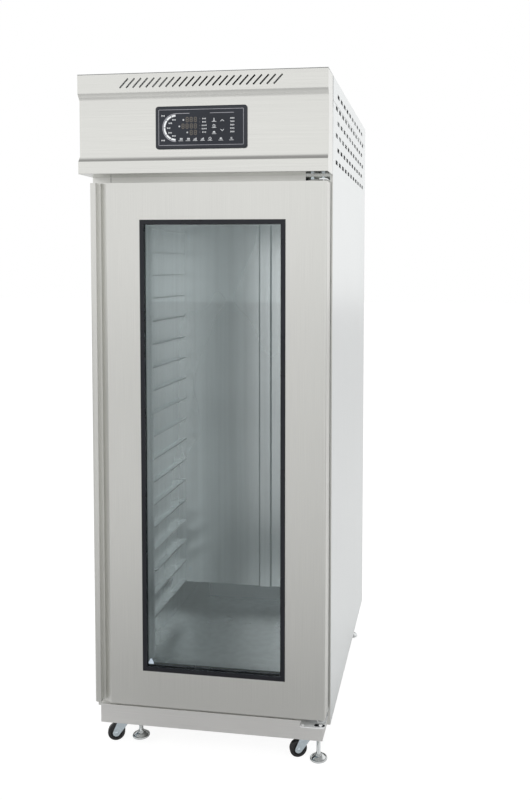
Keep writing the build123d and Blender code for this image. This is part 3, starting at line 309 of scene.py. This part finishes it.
def hullForm(form, discs, low, high, steps=40):
    # A plate round several discs (x, z, radius), from low to high along Y
    made = []
    for x, z, radius in discs:
        for level in (low, high):
            ring = bmesh.ops.create_circle(form, segments=steps, radius=radius)["verts"]
            bmesh.ops.rotate(form, cent=(0, 0, 0), matrix=quarterTurn, verts=ring)
            bmesh.ops.translate(form, vec=(x, level, z), verts=ring)
            made += ring
    hull = bmesh.ops.convex_hull(form, input=made)
    loose = hull["geom_interior"] + hull["geom_unused"]
    spare = {item for item in loose if isinstance(item, bmesh.types.BMVert)}
    bmesh.ops.delete(form, geom=list(spare), context="VERTS")
    return [vert for vert in made if vert.is_valid]


# The door's pull: a rolled lip, a narrow finger groove and a long slope up to the face
pull = {
    "lip": 0.0190, "grooveEnd": 0.0280, "step": 0.0130, "deep": 0.0155, "roll": 0.0080, "edge": 0.0025,
    "wallLean": 0.0010, "rimWide": 0.0012, "rimFall": 0.0004,
}
pullLow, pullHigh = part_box("door_grip")
pullLeft, pullFront = pullLow.x, pullLow.y
pullRow = [(pullLeft, pullHigh.y)]
for number in range(7):
    turn = radians(180 + 15 * number)
    pullRow.append((
        pullLeft + pull["roll"] * (1 + cos(turn)), pullFront + pull["roll"] * (1 + sin(turn)),
    ))
for number in range(5):
    turn = radians(270 + 22.5 * number)
    pullRow.append((
        pullLeft + pull["lip"] - pull["edge"] * (1 - cos(turn)), pullFront + pull["edge"] * (1 + sin(turn)),
    ))
pullRow += [
    (pullLeft + pull["lip"], pullFront + pull["deep"]),
    (pullLeft + pull["grooveEnd"] - pull["wallLean"], pullFront + pull["deep"]),
    (pullLeft + pull["grooveEnd"], pullFront + pull["step"]),
    (pullHigh.x - pull["rimWide"], pullFront + pull["rimFall"]),
    (pullHigh.x, pullFront),
    (pullHigh.x, pullHigh.y),
]
pullForm = bmesh.new()
pullFace = pullForm.faces.new([pullForm.verts.new((x, y, pullLow.z)) for x, y in pullRow])
raised = bmesh.ops.extrude_face_region(pullForm, geom=[pullFace])["geom"]
pullTop = [item for item in raised if isinstance(item, bmesh.types.BMVert)]
bmesh.ops.translate(pullForm, vec=(0, 0, pullHigh.z - pullLow.z), verts=pullTop)
bmesh.ops.recalc_face_normals(pullForm, faces=pullForm.faces)
pullPiece = makePiece("door_pull", pullForm, "door", finishes["stainless"], 20.0)
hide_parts("door_grip")
print("door pull done")


# Control panel print, in millimetres from the panel's centre
panel = {
    "centreZ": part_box("panel_bezel")[0].z / 2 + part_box("panel_bezel")[1].z / 2,
    "filmY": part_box("panel_overlay")[0].y,
    "ink": 0.00012,
    "ringX": 118.7, "ringZ": 47.9, "ringWide": 1.5,
    "gaugeX": -70.0, "gaugeZ": -0.6,
    "gaugeIn": 30.0, "gaugeOut": 35.0,
    "gaugeSpans": ((92, 112), (115, 141), (144, 178), (181, 214), (217, 243), (246, 268)),
    "lineIn": 36.2, "lineOut": 38.4,
    "ruleZ": 37.4, "ruleLeft": (-70.0, -31.6), "ruleRight": (26.0, 93.0), "ruleThick": 1.6,
    "digitHigh": 13.5, "digitWide": 8.0, "strokeWide": 1.7,
    "digitRows": (
        (20.6, (-38.2, -26.9, -15.2)), (3.1, (-50.0, -38.7, -26.5, -15.2)), (-14.4, (-26.9, -15.2)),
    ),
    "rowIcons": ((-49.0, 19.8), (-60.5, 2.7), (-38.0, -13.8)),
    "lampX": -2.6, "labelX": 9.4, "farX": 88.0,
    "columnZ": (22.5, 13.6, 4.3, -4.7, -13.8),
    "labelWide": (11.0, 11.0, 14.5, 14.5, 11.0), "labelHigh": 3.8, "farWide": 12.0, "farHigh": 4.4,
    "gaugeLabels": (
        (-75.6, 20.8), (-86.0, 11.7), (-91.0, -1.5), (-86.8, -14.0), (-76.0, -22.7),
        (-106.5, 32.0), (-106.5, -34.4),
    ),
    "gaugeLabelWide": 10.5, "gaugeLabelHigh": 3.8,
    "gapAcross": 1.6, "gapUpright": 1.4, "iconIn": 0.9, "iconOut": 2.1, "lampSize": 1.3,
}
word = {"pitch": 3.2, "fewest": 3, "tall": (0.95, 0.72), "stroke": 0.62, "ruleWide": 0.94, "ruleHigh": 0.22}


def panelBlock(form, x, z, wide, high, frontY, turn=0.0):
    x0 = x / 1000
    z0 = panel["centreZ"] + z / 1000
    halfWide = wide / 2000
    halfHigh = high / 2000
    low = (x0 - halfWide, frontY - panel["ink"], z0 - halfHigh)
    addBlock(form, low, (x0 + halfWide, frontY, z0 + halfHigh), turn)


def panelArc(form, x, z, inner, outer, start, end, frontY):
    # A flat band: a small face beside the centre, spun about an axis along Y
    whole = end - start >= 360
    centre = Vector((x / 1000, frontY, panel["centreZ"] + z / 1000))
    frontRow = []
    for reach, lift in ((inner, 0), (outer, 0), (outer, panel["ink"]), (inner, panel["ink"])):
        frontRow.append(form.verts.new(centre + Vector((reach / 1000, -lift, 0))))
    band = form.faces.new(frontRow)
    bmesh.ops.rotate(form, cent=centre, matrix=Matrix.Rotation(-radians(start), 3, "Y"), verts=frontRow)
    steps = max(6, round((end - start) / 7))
    geometry = [band] + list(band.edges) + frontRow
    if whole:
        geometry = list(band.edges) + frontRow
        bmesh.ops.delete(form, geom=[band], context="FACES_ONLY")
    bmesh.ops.spin(
        form, geom=geometry, cent=centre, axis=(0, 1, 0), angle=-radians(end - start), steps=steps,
        use_merge=whole,
    )


def panelLabel(form, x, z, wide, high, frontY):
    # A generic word: a few upright strokes with one thin rule through them
    strokes = max(word["fewest"], round(wide / word["pitch"]))
    step = wide / strokes
    for number in range(strokes):
        strokeX = x - wide / 2 + step * (number + 0.5)
        panelBlock(form, strokeX, z, step * word["stroke"], high * word["tall"][number % 2], frontY)
    panelBlock(form, x, z, wide * word["ruleWide"], high * word["ruleHigh"], frontY)


def panelDigit(form, x, z, frontY):
    wide = panel["digitWide"] - panel["strokeWide"]
    half = (panel["digitHigh"] - panel["strokeWide"]) / 2
    for level in (-half, 0.0, half):
        panelBlock(form, x, z + level, wide - panel["gapAcross"], panel["strokeWide"], frontY)
    for side in (-wide / 2, wide / 2):
        for level in (-half / 2, half / 2):
            panelBlock(form, x + side, z + level, panel["strokeWide"], half - panel["gapUpright"], frontY)


def finishedInk(name, form, body, finish):
    bmesh.ops.remove_doubles(form, verts=form.verts, dist=1e-6)
    bmesh.ops.recalc_face_normals(form, faces=form.faces)
    return makePiece(name, form, body, finish)


filmY = panel["filmY"]
ringX, ringZ, ringWide = panel["ringX"], panel["ringZ"], panel["ringWide"]
gaugeX, gaugeZ = panel["gaugeX"], panel["gaugeZ"]
white = bmesh.new()
grey = bmesh.new()
unlit = bmesh.new()
for side in (-1, 1):
    panelBlock(grey, side * ringX, 0, ringWide, 2 * ringZ, filmY)
    panelBlock(grey, 0, side * ringZ, 2 * ringX - ringWide, ringWide, filmY)
for start, end in panel["gaugeSpans"]:
    panelArc(white, gaugeX, gaugeZ, panel["gaugeIn"], panel["gaugeOut"], start, end, filmY)
panelArc(grey, gaugeX, gaugeZ, panel["lineIn"], panel["lineOut"], 90, 270, filmY)
for left, right in (panel["ruleLeft"], panel["ruleRight"]):
    panelBlock(grey, (left + right) / 2, panel["ruleZ"], right - left, panel["ruleThick"], filmY)
for rowZ, rowX in panel["digitRows"]:
    for digitX in rowX:
        panelDigit(unlit, digitX, rowZ, filmY)
for x, z in panel["rowIcons"]:
    panelArc(white, x, z, panel["iconIn"], panel["iconOut"], 0, 360, filmY)
for z, wide in zip(panel["columnZ"], panel["labelWide"]):
    panelBlock(grey, panel["lampX"], z, panel["lampSize"], panel["lampSize"], filmY)
    panelLabel(white, panel["labelX"], z, wide, panel["labelHigh"], filmY)
    panelLabel(white, panel["farX"], z, panel["farWide"], panel["farHigh"], filmY)
for x, z in panel["gaugeLabels"]:
    panelLabel(white, x, z, panel["gaugeLabelWide"], panel["gaugeLabelHigh"], filmY)
finishedInk("panel_print_white", white, "cabinet", whiteInk)
finishedInk("panel_print_grey", grey, "cabinet", greyInk)
finishedInk("panel_digits_unlit", unlit, "cabinet", unlitSegment)


# Each key has its own print, which moves with the key
def keyIcon(form, kind, x, z, frontY):
    if kind == "up" or kind == "down":
        lean = 1 if kind == "up" else -1
        for side in (-1, 1):
            panelBlock(form, x + side * 2.3, z, 6.6, 1.4, frontY, side * lean * radians(42))
        return
    panelBlock(form, x, z - 4.6, 12.6, 1.1, frontY)
    if kind == "thermometer":
        panelBlock(form, x, z + 1.2, 2.2, 7.0, frontY)
        panelArc(form, x, z - 1.6, 0.5, 2.3, 0, 360, frontY)
    elif kind == "clock":
        panelArc(form, x, z + 0.3, 2.8, 4.0, 0, 360, frontY)
        panelBlock(form, x, z + 1.1, 0.7, 2.2, frontY)
        panelBlock(form, x + 0.8, z + 0.3, 2.0, 0.7, frontY)
    elif kind == "dome":
        panelArc(form, x, z - 1.2, 0.4, 3.6, 10, 170, frontY)
        panelBlock(form, x, z - 2.0, 8.4, 0.8, frontY)
    elif kind == "star":
        for turn in (0, 60, 120):
            panelBlock(form, x, z + 0.4, 6.6, 0.9, frontY, radians(turn))
    elif kind == "steps":
        for number in range(3):
            panelBlock(form, x - 3.0 + number * 3.0, z - 1.4 + number * 0.8, 1.9, 2.6 + number * 1.6, frontY)
    else:
        panelArc(form, x, z + 0.4, 1.2, 2.6, 0, 360, frontY)
        panelBlock(form, x + 4.2, z + 0.4, 1.8, 4.4, frontY)


keyIcons = (
    "drop", "drop", "steps", "steps", "clock", "dome", "star", "thermometer", "clock", "dome", "up", "down",
)
for number, kind in enumerate(keyIcons, start=1):
    keyName = f"key_{number:02d}"
    low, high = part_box(keyName)
    keyPrint = bmesh.new()
    keyX = (low.x + high.x) * 500
    keyZ = ((low.z + high.z) / 2 - panel["centreZ"]) * 1000
    keyIcon(keyPrint, kind, keyX, keyZ, low.y)
    finishedInk(f"{keyName}_print", keyPrint, keyName, whiteInk)
print("control panel print done")


# Round things: a profile of (radius, height) points, spun about an axis
def spunForm(form, profile, place, axis):
    axis = Vector(axis).normalized()
    outward = axis.orthogonal().normalized()
    row = []
    for reach, along in profile:
        row.append(form.verts.new(Vector(place) + outward * reach + axis * along))
    edges = [form.edges.new(pair) for pair in zip(row, row[1:])]
    bmesh.ops.spin(
        form, geom=row + edges, cent=place, axis=axis, angle=2 * pi, steps=48, use_merge=True
    )
    bmesh.ops.remove_doubles(form, verts=form.verts, dist=1e-6)
    bmesh.ops.recalc_face_normals(form, faces=form.faces)


def arcPoints(centreR, centreZ, radius, start, end, steps):
    points = []
    for number in range(steps + 1):
        turn = radians(start + (end - start) * number / steps)
        points.append((centreR + radius * cos(turn), centreZ + radius * sin(turn)))
    return points


wheel = {
    "radius": 0.0250, "halfWidth": 0.0090, "shoulder": 0.0035, "dish": 0.0150, "hub": 0.0062, "bore": 0.0032,
    "hubHalf": 0.0101, "hubLean": 0.001, "dishHalf": (0.0070, 0.0062), "dishLean": 0.0012,
}
restAngle = radians(200)
axleAxis = (sin(restAngle), -cos(restAngle), 0)
wheelProfile = [
    (wheel["bore"], -wheel["hubHalf"]), (wheel["hub"], -wheel["hubHalf"]),
    (wheel["hub"] + wheel["hubLean"], -wheel["dishHalf"][0]), (wheel["dish"], -wheel["dishHalf"][1]),
    (wheel["dish"] + wheel["dishLean"], -wheel["halfWidth"]),
]
shoulderR = wheel["radius"] - wheel["shoulder"]
shoulderZ = wheel["halfWidth"] - wheel["shoulder"]
wheelProfile += arcPoints(shoulderR, -shoulderZ, wheel["shoulder"], -90, 0, 5)
wheelProfile += [(reach, -along) for reach, along in reversed(wheelProfile)]
wheelProfile.append(wheelProfile[0])
for corner in corners:
    low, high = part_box(f"castor_wheel_{corner}")
    tyre = bmesh.new()
    spunForm(tyre, wheelProfile, (low + high) / 2, axleAxis)
    piece = makePiece(f"tyre_{corner}", tyre, f"wheel_{corner}", finishes["wheel_rubber"])
    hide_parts(f"castor_wheel_{corner}")

# Castor fork: two wide plates that taper to the axle, under a top plate
fork = {
    "trail": 0.022, "axleZ": 0.025, "boss": 0.0105, "topHalf": 0.0165, "topCorner": 0.0015, "topZ": 0.0577,
    "plate": 0.0025, "legIn": 0.0105, "legOut": 0.0125, "head": 0.0052, "headHigh": 0.0024, "axle": 0.0030,
}
for corner in corners:
    low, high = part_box(f"castor_wheel_{corner}")
    axlePoint = (low + high) / 2
    pivot = axlePoint - Vector((cos(restAngle), sin(restAngle), 0)) * fork["trail"]
    pivot.z = 0.0
    forkForm = bmesh.new()
    crown = (fork["topZ"] + fork["topCorner"], fork["topCorner"])
    legDiscs = (
        (fork["trail"], fork["axleZ"], fork["boss"]), (-fork["topHalf"], *crown), (fork["topHalf"], *crown),
    )
    for side in (-1, 1):
        hullForm(forkForm, legDiscs, side * fork["legIn"], side * fork["legOut"])
    addBlock(
        forkForm, (-fork["topHalf"], -fork["legOut"], fork["topZ"]),
        (fork["topHalf"], fork["legOut"], fork["topZ"] + fork["plate"]),
    )
    dome = [(0.0, fork["legOut"] + fork["headHigh"])]
    dome += arcPoints(0.0, fork["legOut"], fork["headHigh"], 80, 0, 4)
    dome = [(reach / fork["headHigh"] * fork["head"], along) for reach, along in dome]
    dome += [(fork["axle"], fork["legOut"]), (fork["axle"], 0.0)]
    for side in (-1, 1):
        spunForm(forkForm, dome, (fork["trail"], 0, fork["axleZ"]), (0, side, 0))
    bmesh.ops.recalc_face_normals(forkForm, faces=forkForm.faces)
    placed = Matrix.Translation(pivot) @ Matrix.Rotation(restAngle, 4, "Z")
    bmesh.ops.transform(forkForm, matrix=placed, verts=forkForm.verts)
    piece = makePiece(f"fork_{corner}", forkForm, f"castor_{corner}", finishes["zinc_plate"])
    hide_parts(f"castor_fork_{corner}")

# Levelling foot: a domed disc with a groove, a six-sided collar and a threaded stem
foot = {
    "disc": 0.0250, "rim": 0.0030, "lip": 0.0012, "dome": 0.0115, "neck": 0.0085, "grooveIn": 0.0195,
    "stem": 0.0060, "root": 0.0053, "pitch": 0.0018, "length": 0.0950, "collar": 0.0092, "collarHigh": 0.0060,
    "round": 0.0022, "grooveLean": 0.0012, "grooveZ": 0.0042, "domeZ": 0.0046, "domeSteps": 7,
    "stemRise": 0.0005, "threadGap": 0.001, "endGap": 0.002,
}
footProfile = [(0.0, 0.0), (foot["disc"] - foot["lip"], 0.0)]
footProfile += arcPoints(foot["disc"] - foot["lip"], foot["lip"], foot["lip"], -90, 0, 3)
footProfile += [(foot["disc"], foot["rim"])]
footProfile += arcPoints(foot["disc"] - foot["round"], foot["rim"], foot["round"], 0, 90, 4)
footProfile += [(foot["grooveIn"] + foot["grooveLean"], foot["grooveZ"]), (foot["grooveIn"], foot["domeZ"])]
for number in range(1, foot["domeSteps"] + 1):
    share = number / foot["domeSteps"]
    reach = foot["grooveIn"] - (foot["grooveIn"] - foot["neck"]) * share
    rise = (foot["dome"] - foot["domeZ"]) * sin(share * pi / 2)
    footProfile.append((reach, foot["domeZ"] + rise))
footProfile.append((foot["stem"], foot["dome"] + foot["stemRise"]))
threadStart = foot["dome"] + foot["collarHigh"] + foot["threadGap"]
footProfile.append((foot["stem"], threadStart))
threadTurns = int((foot["length"] - threadStart - foot["endGap"]) / foot["pitch"])
for number in range(threadTurns):
    level = threadStart + foot["pitch"] * number
    footProfile += [(foot["root"], level + foot["pitch"] / 2), (foot["stem"], level + foot["pitch"])]
footProfile += [(foot["root"], foot["length"]), (0.0, foot["length"])]
for corner in corners:
    low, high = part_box(f"levelling_foot_{corner}")
    middle = (low + high) / 2
    base = Vector((middle.x, middle.y, low.z))
    turned = bmesh.new()
    spunForm(turned, footProfile, base, (0, 0, 1))
    collarBase = base + Vector((0, 0, foot["dome"]))
    addCone(turned, collarBase, foot["collar"], foot["collar"], foot["collarHigh"], 6)
    piece = makePiece(f"screw_foot_{corner}", turned, f"foot_{corner}", finishes["chrome"])
    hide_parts(f"levelling_foot_{corner}")
print("running gear done")


# Small trim that the solids don't hold
trim = {
    "spotX": -0.160, "spotZ": 0.2835, "spotSize": 0.0076, "spotThick": 0.0012,
    "seamX": -0.2953, "seamLow": 1.6480, "seamHigh": 1.6675, "seamWide": 0.0012, "seamDeep": 0.0003,
    "tabWide": 0.0187, "tabLow": 0.104, "tabThick": 0.0015,
    "plateZ": 0.1275, "plateThick": 0.003, "plateLong": 0.050, "plateNose": 0.013, "plateCorner": 0.004,
    "plateFlare": 0.005, "plateBevel": 0.0006,
    "screw": 0.0046, "screwTaper": 0.7, "screwHigh": 0.0016, "screwOut": 0.002,
    "revealThick": 0.0004, "revealInset": 0.003, "revealClear": 0.0003,
    "racks": 18, "rackPitch": 0.074, "hem": 0.0030,
    "slotReach": (-0.012, 0.006), "slotRound": 0.0062, "slotLift": 0.0003,
    "boss": 0.0055, "bossTaper": 0.8, "bossHigh": 0.0040,
}
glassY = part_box("glass_outer")[0].y
# A small pale bluish spot on the glass at its lower left corner
spotForm = bmesh.new()
spotDiscs = [
    (trim["spotX"] + u * trim["spotSize"], trim["spotZ"] + w * trim["spotSize"], 0.42 * trim["spotSize"])
    for u, w in ((0.0, 0.70), (-0.66, -0.50), (0.66, -0.50))
]
hullForm(spotForm, spotDiscs, glassY - trim["spotThick"], glassY, 20)
bmesh.ops.recalc_face_normals(spotForm, faces=spotForm.faces)
makePiece("corner_pale_spot", spotForm, "door", paleSpot)
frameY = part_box("front_frame")[0].y
seam = bmesh.new()
addBlock(
    seam, (trim["seamX"], frameY - trim["seamDeep"], trim["seamLow"]),
    (trim["seamX"] + trim["seamWide"], frameY + trim["seamDeep"], trim["seamHigh"]),
)
makePiece("frame_seam", seam, "cabinet", seamShade)

# Bright steel strips line the window's opening behind the glass
innerLow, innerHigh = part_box("glass_inner")
openX = (innerLow.x + trim["revealInset"], innerHigh.x - trim["revealInset"])
openZ = (innerLow.z + trim["revealInset"], innerHigh.z - trim["revealInset"])
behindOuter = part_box("glass_outer")[1].y + trim["revealClear"]
behindInner = innerHigh.y + trim["revealClear"]
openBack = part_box("window_frame")[1].y
reveal = bmesh.new()
for side, edge in ((1, openX[0]), (-1, openX[1])):
    ends = sorted((edge, edge + side * trim["revealThick"]))
    addBlock(reveal, (ends[0], behindOuter, openZ[0]), (ends[1], openBack, openZ[1]))
for side, edge in ((1, openZ[0]), (-1, openZ[1])):
    ends = sorted((edge, edge + side * trim["revealThick"]))
    addBlock(reveal, (openX[0], behindInner, ends[0]), (openX[1], openBack, ends[1]))
makePiece("window_reveal", reveal, "door", finishes["chamber_steel"])

# Rolled hems along the free edges of the tray runners, in a paler steel: painted highlight lines along those
# edges
for rackName, side in (("tray_runners_left", 1), ("tray_runners_right", -1)):
    low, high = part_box(rackName)
    freeX = high.x if side > 0 else low.x
    hems = bmesh.new()
    for number in range(trim["racks"]):
        level = high.z - number * trim["rackPitch"]
        ends = sorted((freeX, freeX - side * trim["hem"]))
        addBlock(hems, (ends[0], low.y, level - trim["hem"]), (ends[1], high.y, level))
    makePiece(f"{rackName}_hems", hems, "cabinet", hemHighlightSteel)

# Two tabs of the front frame close the skirt beside the plinth
frameLow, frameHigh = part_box("front_frame")
tabs = bmesh.new()
for side in (-1, 1):
    edges = sorted((side * frameHigh.x, side * (frameHigh.x - trim["tabWide"])))
    addBlock(tabs, (edges[0], frameY, trim["tabLow"]), (edges[1], frameY + trim["tabThick"], frameLow.z))
makePiece("frame_skirt_tabs", tabs, "cabinet", finishes["stainless"])

# Hinge plate that lies over the plinth, with its screw. The record's first joint is the door's hinge
hingeX, hingeY = frame["record"]["behaviour"]["joints"][0]["pos_m"][:2]
corner = trim["plateCorner"]
plateTop = trim["plateZ"] + trim["plateThick"]
tailX = hingeX - trim["plateLong"]
hingePlate = bmesh.new()
plateDiscs = (
    (hingeX, -hingeY, trim["plateNose"]), (tailX, corner - hingeY, trim["plateNose"] - corner),
    (hingeX + trim["plateNose"] - corner, -frameY - corner, corner),
    (tailX - trim["plateFlare"], -frameY - corner, corner),
)
plateVerts = hullForm(hingePlate, plateDiscs, trim["plateZ"], plateTop)
bmesh.ops.rotate(hingePlate, cent=(0, 0, 0), matrix=quarterTurn, verts=plateVerts)
bmesh.ops.dissolve_limit(hingePlate, angle_limit=radians(1), verts=hingePlate.verts, edges=hingePlate.edges)
rims = [edge for edge in hingePlate.edges if edge.calc_face_angle(0.0) > foldAngle]
bmesh.ops.bevel(
    hingePlate, geom=rims, offset=trim["plateBevel"], segments=2, profile=0.5, affect="EDGES", material=-1
)
screwPlace = (tailX, hingeY - trim["screwOut"], plateTop)
addCone(hingePlate, screwPlace, trim["screw"], trim["screw"] * trim["screwTaper"], trim["screwHigh"], 20)
bmesh.ops.recalc_face_normals(hingePlate, faces=hingePlate.faces)
makePiece("hinge_plate_low", hingePlate, "cabinet", hingeZinc)

# A thin dark sheet over the plate's long slot: painted shadow in the slot, with the pin's bright boss in it
slotShadow = bmesh.new()
slotDiscs = [(hingeX + along, -hingeY, trim["slotRound"]) for along in trim["slotReach"]]
slotVerts = hullForm(slotShadow, slotDiscs, plateTop, plateTop + trim["slotLift"], 24)
bmesh.ops.rotate(slotShadow, cent=(0, 0, 0), matrix=quarterTurn, verts=slotVerts)
bmesh.ops.recalc_face_normals(slotShadow, faces=slotShadow.faces)
makePiece("hinge_plate_slot_shadow", slotShadow, "cabinet", finishes["black_trim"])
boss = bmesh.new()
bossPlace = (hingeX, hingeY, plateTop)
addCone(boss, bossPlace, trim["boss"], trim["boss"] * trim["bossTaper"], trim["bossHigh"], 24)
bmesh.ops.recalc_face_normals(boss, faces=boss.faces)
makePiece("hinge_plate_boss", boss, "cabinet", hingeZinc)
print("trim done")


# Stage: pale floor with painted shade that darkens it just in front, soft lamps and a world with a darker
# ceiling
stage = {
    "floorHalf": 30.0, "floorShadeTones": ((-7.5, 0.98), (-4.0, 0.72), (-1.2, 0.53), (-0.8, 0.47), (0.1, 1.0)),
    "floorReach": 10.0, "glowShare": 0.78, "glow": 1.17,
    "ceilingTone": 0.38, "ceilingStart": 0.55, "ceilingEnd": 0.80, "skyLight": 0.72,
}


def stageFloor():
    form = bmesh.new()
    bmesh.ops.create_grid(form, x_segments=1, y_segments=1, size=stage["floorHalf"])
    mesh = bpy.data.meshes.new("floor")
    form.to_mesh(mesh)
    form.free()
    floor = bpy.data.objects.new("floor", mesh)
    scene.collection.objects.link(floor)
    finish, tree, shader = newFinish("floor", (0.6, 0.6, 0.6), 0.9)
    place = tree.nodes.new("ShaderNodeTexCoord")
    split = tree.nodes.new("ShaderNodeSeparateXYZ")
    alongY = tree.nodes.new("ShaderNodeMapRange")
    alongY.inputs["From Min"].default_value = -stage["floorReach"]
    alongY.inputs["From Max"].default_value = stage["floorReach"]
    tones = tree.nodes.new("ShaderNodeValToRGB")
    for number, (y, tone) in enumerate(stage["floorShadeTones"]):
        position = (y + stage["floorReach"]) / (2 * stage["floorReach"])
        stops = tones.color_ramp.elements
        stop = stops[number] if number < 2 else stops.new(position)
        stop.position = position
        stop.color = (tone, tone, tone, 1)
    tree.links.new(place.outputs["Object"], split.inputs["Vector"])
    tree.links.new(split.outputs["Y"], alongY.inputs["Value"])
    tree.links.new(alongY.outputs["Result"], tones.inputs["Fac"])
    tree.links.new(tones.outputs["Color"], shader.inputs["Base Color"])
    glow = tree.nodes.new("ShaderNodeEmission")
    glow.inputs["Color"].default_value = (1, 1, 1, 1)
    glow.inputs["Strength"].default_value = stage["glow"]
    path = tree.nodes.new("ShaderNodeLightPath")
    share = tree.nodes.new("ShaderNodeMath")
    share.operation = "MULTIPLY"
    share.inputs[1].default_value = stage["glowShare"]
    mix = tree.nodes.new("ShaderNodeMixShader")
    output = tree.nodes["Material Output"]
    tree.links.new(path.outputs["Is Camera Ray"], share.inputs[0])
    tree.links.new(share.outputs["Value"], mix.inputs["Fac"])
    tree.links.new(shader.outputs["BSDF"], mix.inputs[1])
    tree.links.new(glow.outputs["Emission"], mix.inputs[2])
    tree.links.new(mix.outputs["Shader"], output.inputs["Surface"])
    mesh.materials.append(finish)


def stageWorld():
    world = bpy.data.worlds.new("studio")
    world.use_nodes = True
    scene.world = world
    tree = world.node_tree
    light = tree.nodes["Background"]
    light.inputs["Color"].default_value = (1.0, 1.0, 1.0, 1)
    light.inputs["Strength"].default_value = stage["skyLight"]
    seen = tree.nodes.new("ShaderNodeBackground")
    place = tree.nodes.new("ShaderNodeTexCoord")
    split = tree.nodes.new("ShaderNodeSeparateXYZ")
    ramp = tree.nodes.new("ShaderNodeValToRGB")
    ramp.color_ramp.elements[0].position = stage["ceilingStart"]
    ramp.color_ramp.elements[0].color = (1, 1, 1, 1)
    ramp.color_ramp.elements[1].position = stage["ceilingEnd"]
    ramp.color_ramp.elements[1].color = (*(stage["ceilingTone"],) * 3, 1)
    path = tree.nodes.new("ShaderNodeLightPath")
    cameraOrGlossy = tree.nodes.new("ShaderNodeMath")
    cameraOrGlossy.operation = "MAXIMUM"
    anySeen = tree.nodes.new("ShaderNodeMath")
    anySeen.operation = "MAXIMUM"
    mix = tree.nodes.new("ShaderNodeMixShader")
    tree.links.new(place.outputs["Generated"], split.inputs["Vector"])
    tree.links.new(split.outputs["Z"], ramp.inputs["Fac"])
    tree.links.new(ramp.outputs["Color"], seen.inputs["Color"])
    tree.links.new(path.outputs["Is Camera Ray"], cameraOrGlossy.inputs[0])
    tree.links.new(path.outputs["Is Glossy Ray"], cameraOrGlossy.inputs[1])
    tree.links.new(cameraOrGlossy.outputs["Value"], anySeen.inputs[0])
    tree.links.new(path.outputs["Is Transmission Ray"], anySeen.inputs[1])
    tree.links.new(anySeen.outputs["Value"], mix.inputs["Fac"])
    tree.links.new(light.outputs["Background"], mix.inputs[1])
    tree.links.new(seen.outputs["Background"], mix.inputs[2])
    tree.links.new(mix.outputs["Shader"], tree.nodes["World Output"].inputs["Surface"])


lamps = {
    "front_left": {"place": (-2.6, -3.2, 3.0), "size": 3.0, "power": 70.0},
    "front_right": {"place": (3.4, -2.2, 2.6), "size": 3.0, "power": 45.0},
}


def stageLamps():
    for name, lamp in lamps.items():
        light = bpy.data.lights.new(name, "AREA")
        light.size = lamp["size"]
        light.energy = lamp["power"]
        holder = bpy.data.objects.new(name, light)
        aim = Vector((0, 0, 1.0)) - Vector(lamp["place"])
        turned = aim.to_track_quat("-Z", "Y").to_matrix().to_4x4()
        holder.matrix_world = Matrix.Translation(lamp["place"]) @ turned
        holder.visible_glossy = False
        scene.collection.objects.link(holder)


stageFloor()
stageWorld()
stageLamps()

# Camera at the photograph's place and angle
view = {
    "place": (0.6637, -2.6060, 1.4118), "yaw": 0.14359, "pitch": 0.053658, "roll": 0.0045616,
    "lens": 36.157, "sensor": 36.0, "shiftX": -0.08125, "shiftY": -0.1112,
}


def placeCamera():
    lens = bpy.data.cameras.new("camera")
    lens.lens = view["lens"]
    lens.sensor_width = view["sensor"]
    lens.shift_x = view["shiftX"]
    lens.shift_y = view["shiftY"]
    yaw, pitch, roll = view["yaw"], view["pitch"], view["roll"]
    forward = Vector((-sin(yaw) * cos(pitch), cos(yaw) * cos(pitch), -sin(pitch)))
    level = Vector((cos(yaw), sin(yaw), 0))
    upright = level.cross(forward)
    right = level * cos(roll) + upright * sin(roll)
    up = upright * cos(roll) - level * sin(roll)
    turned = Matrix((right, up, -forward)).transposed().to_4x4()
    camera = bpy.data.objects.new("camera", lens)
    camera.matrix_world = Matrix.Translation(view["place"]) @ turned
    scene.collection.objects.link(camera)
    scene.camera = camera


placeCamera()
scene.view_settings.view_transform = "Standard"
print("stage and camera done")
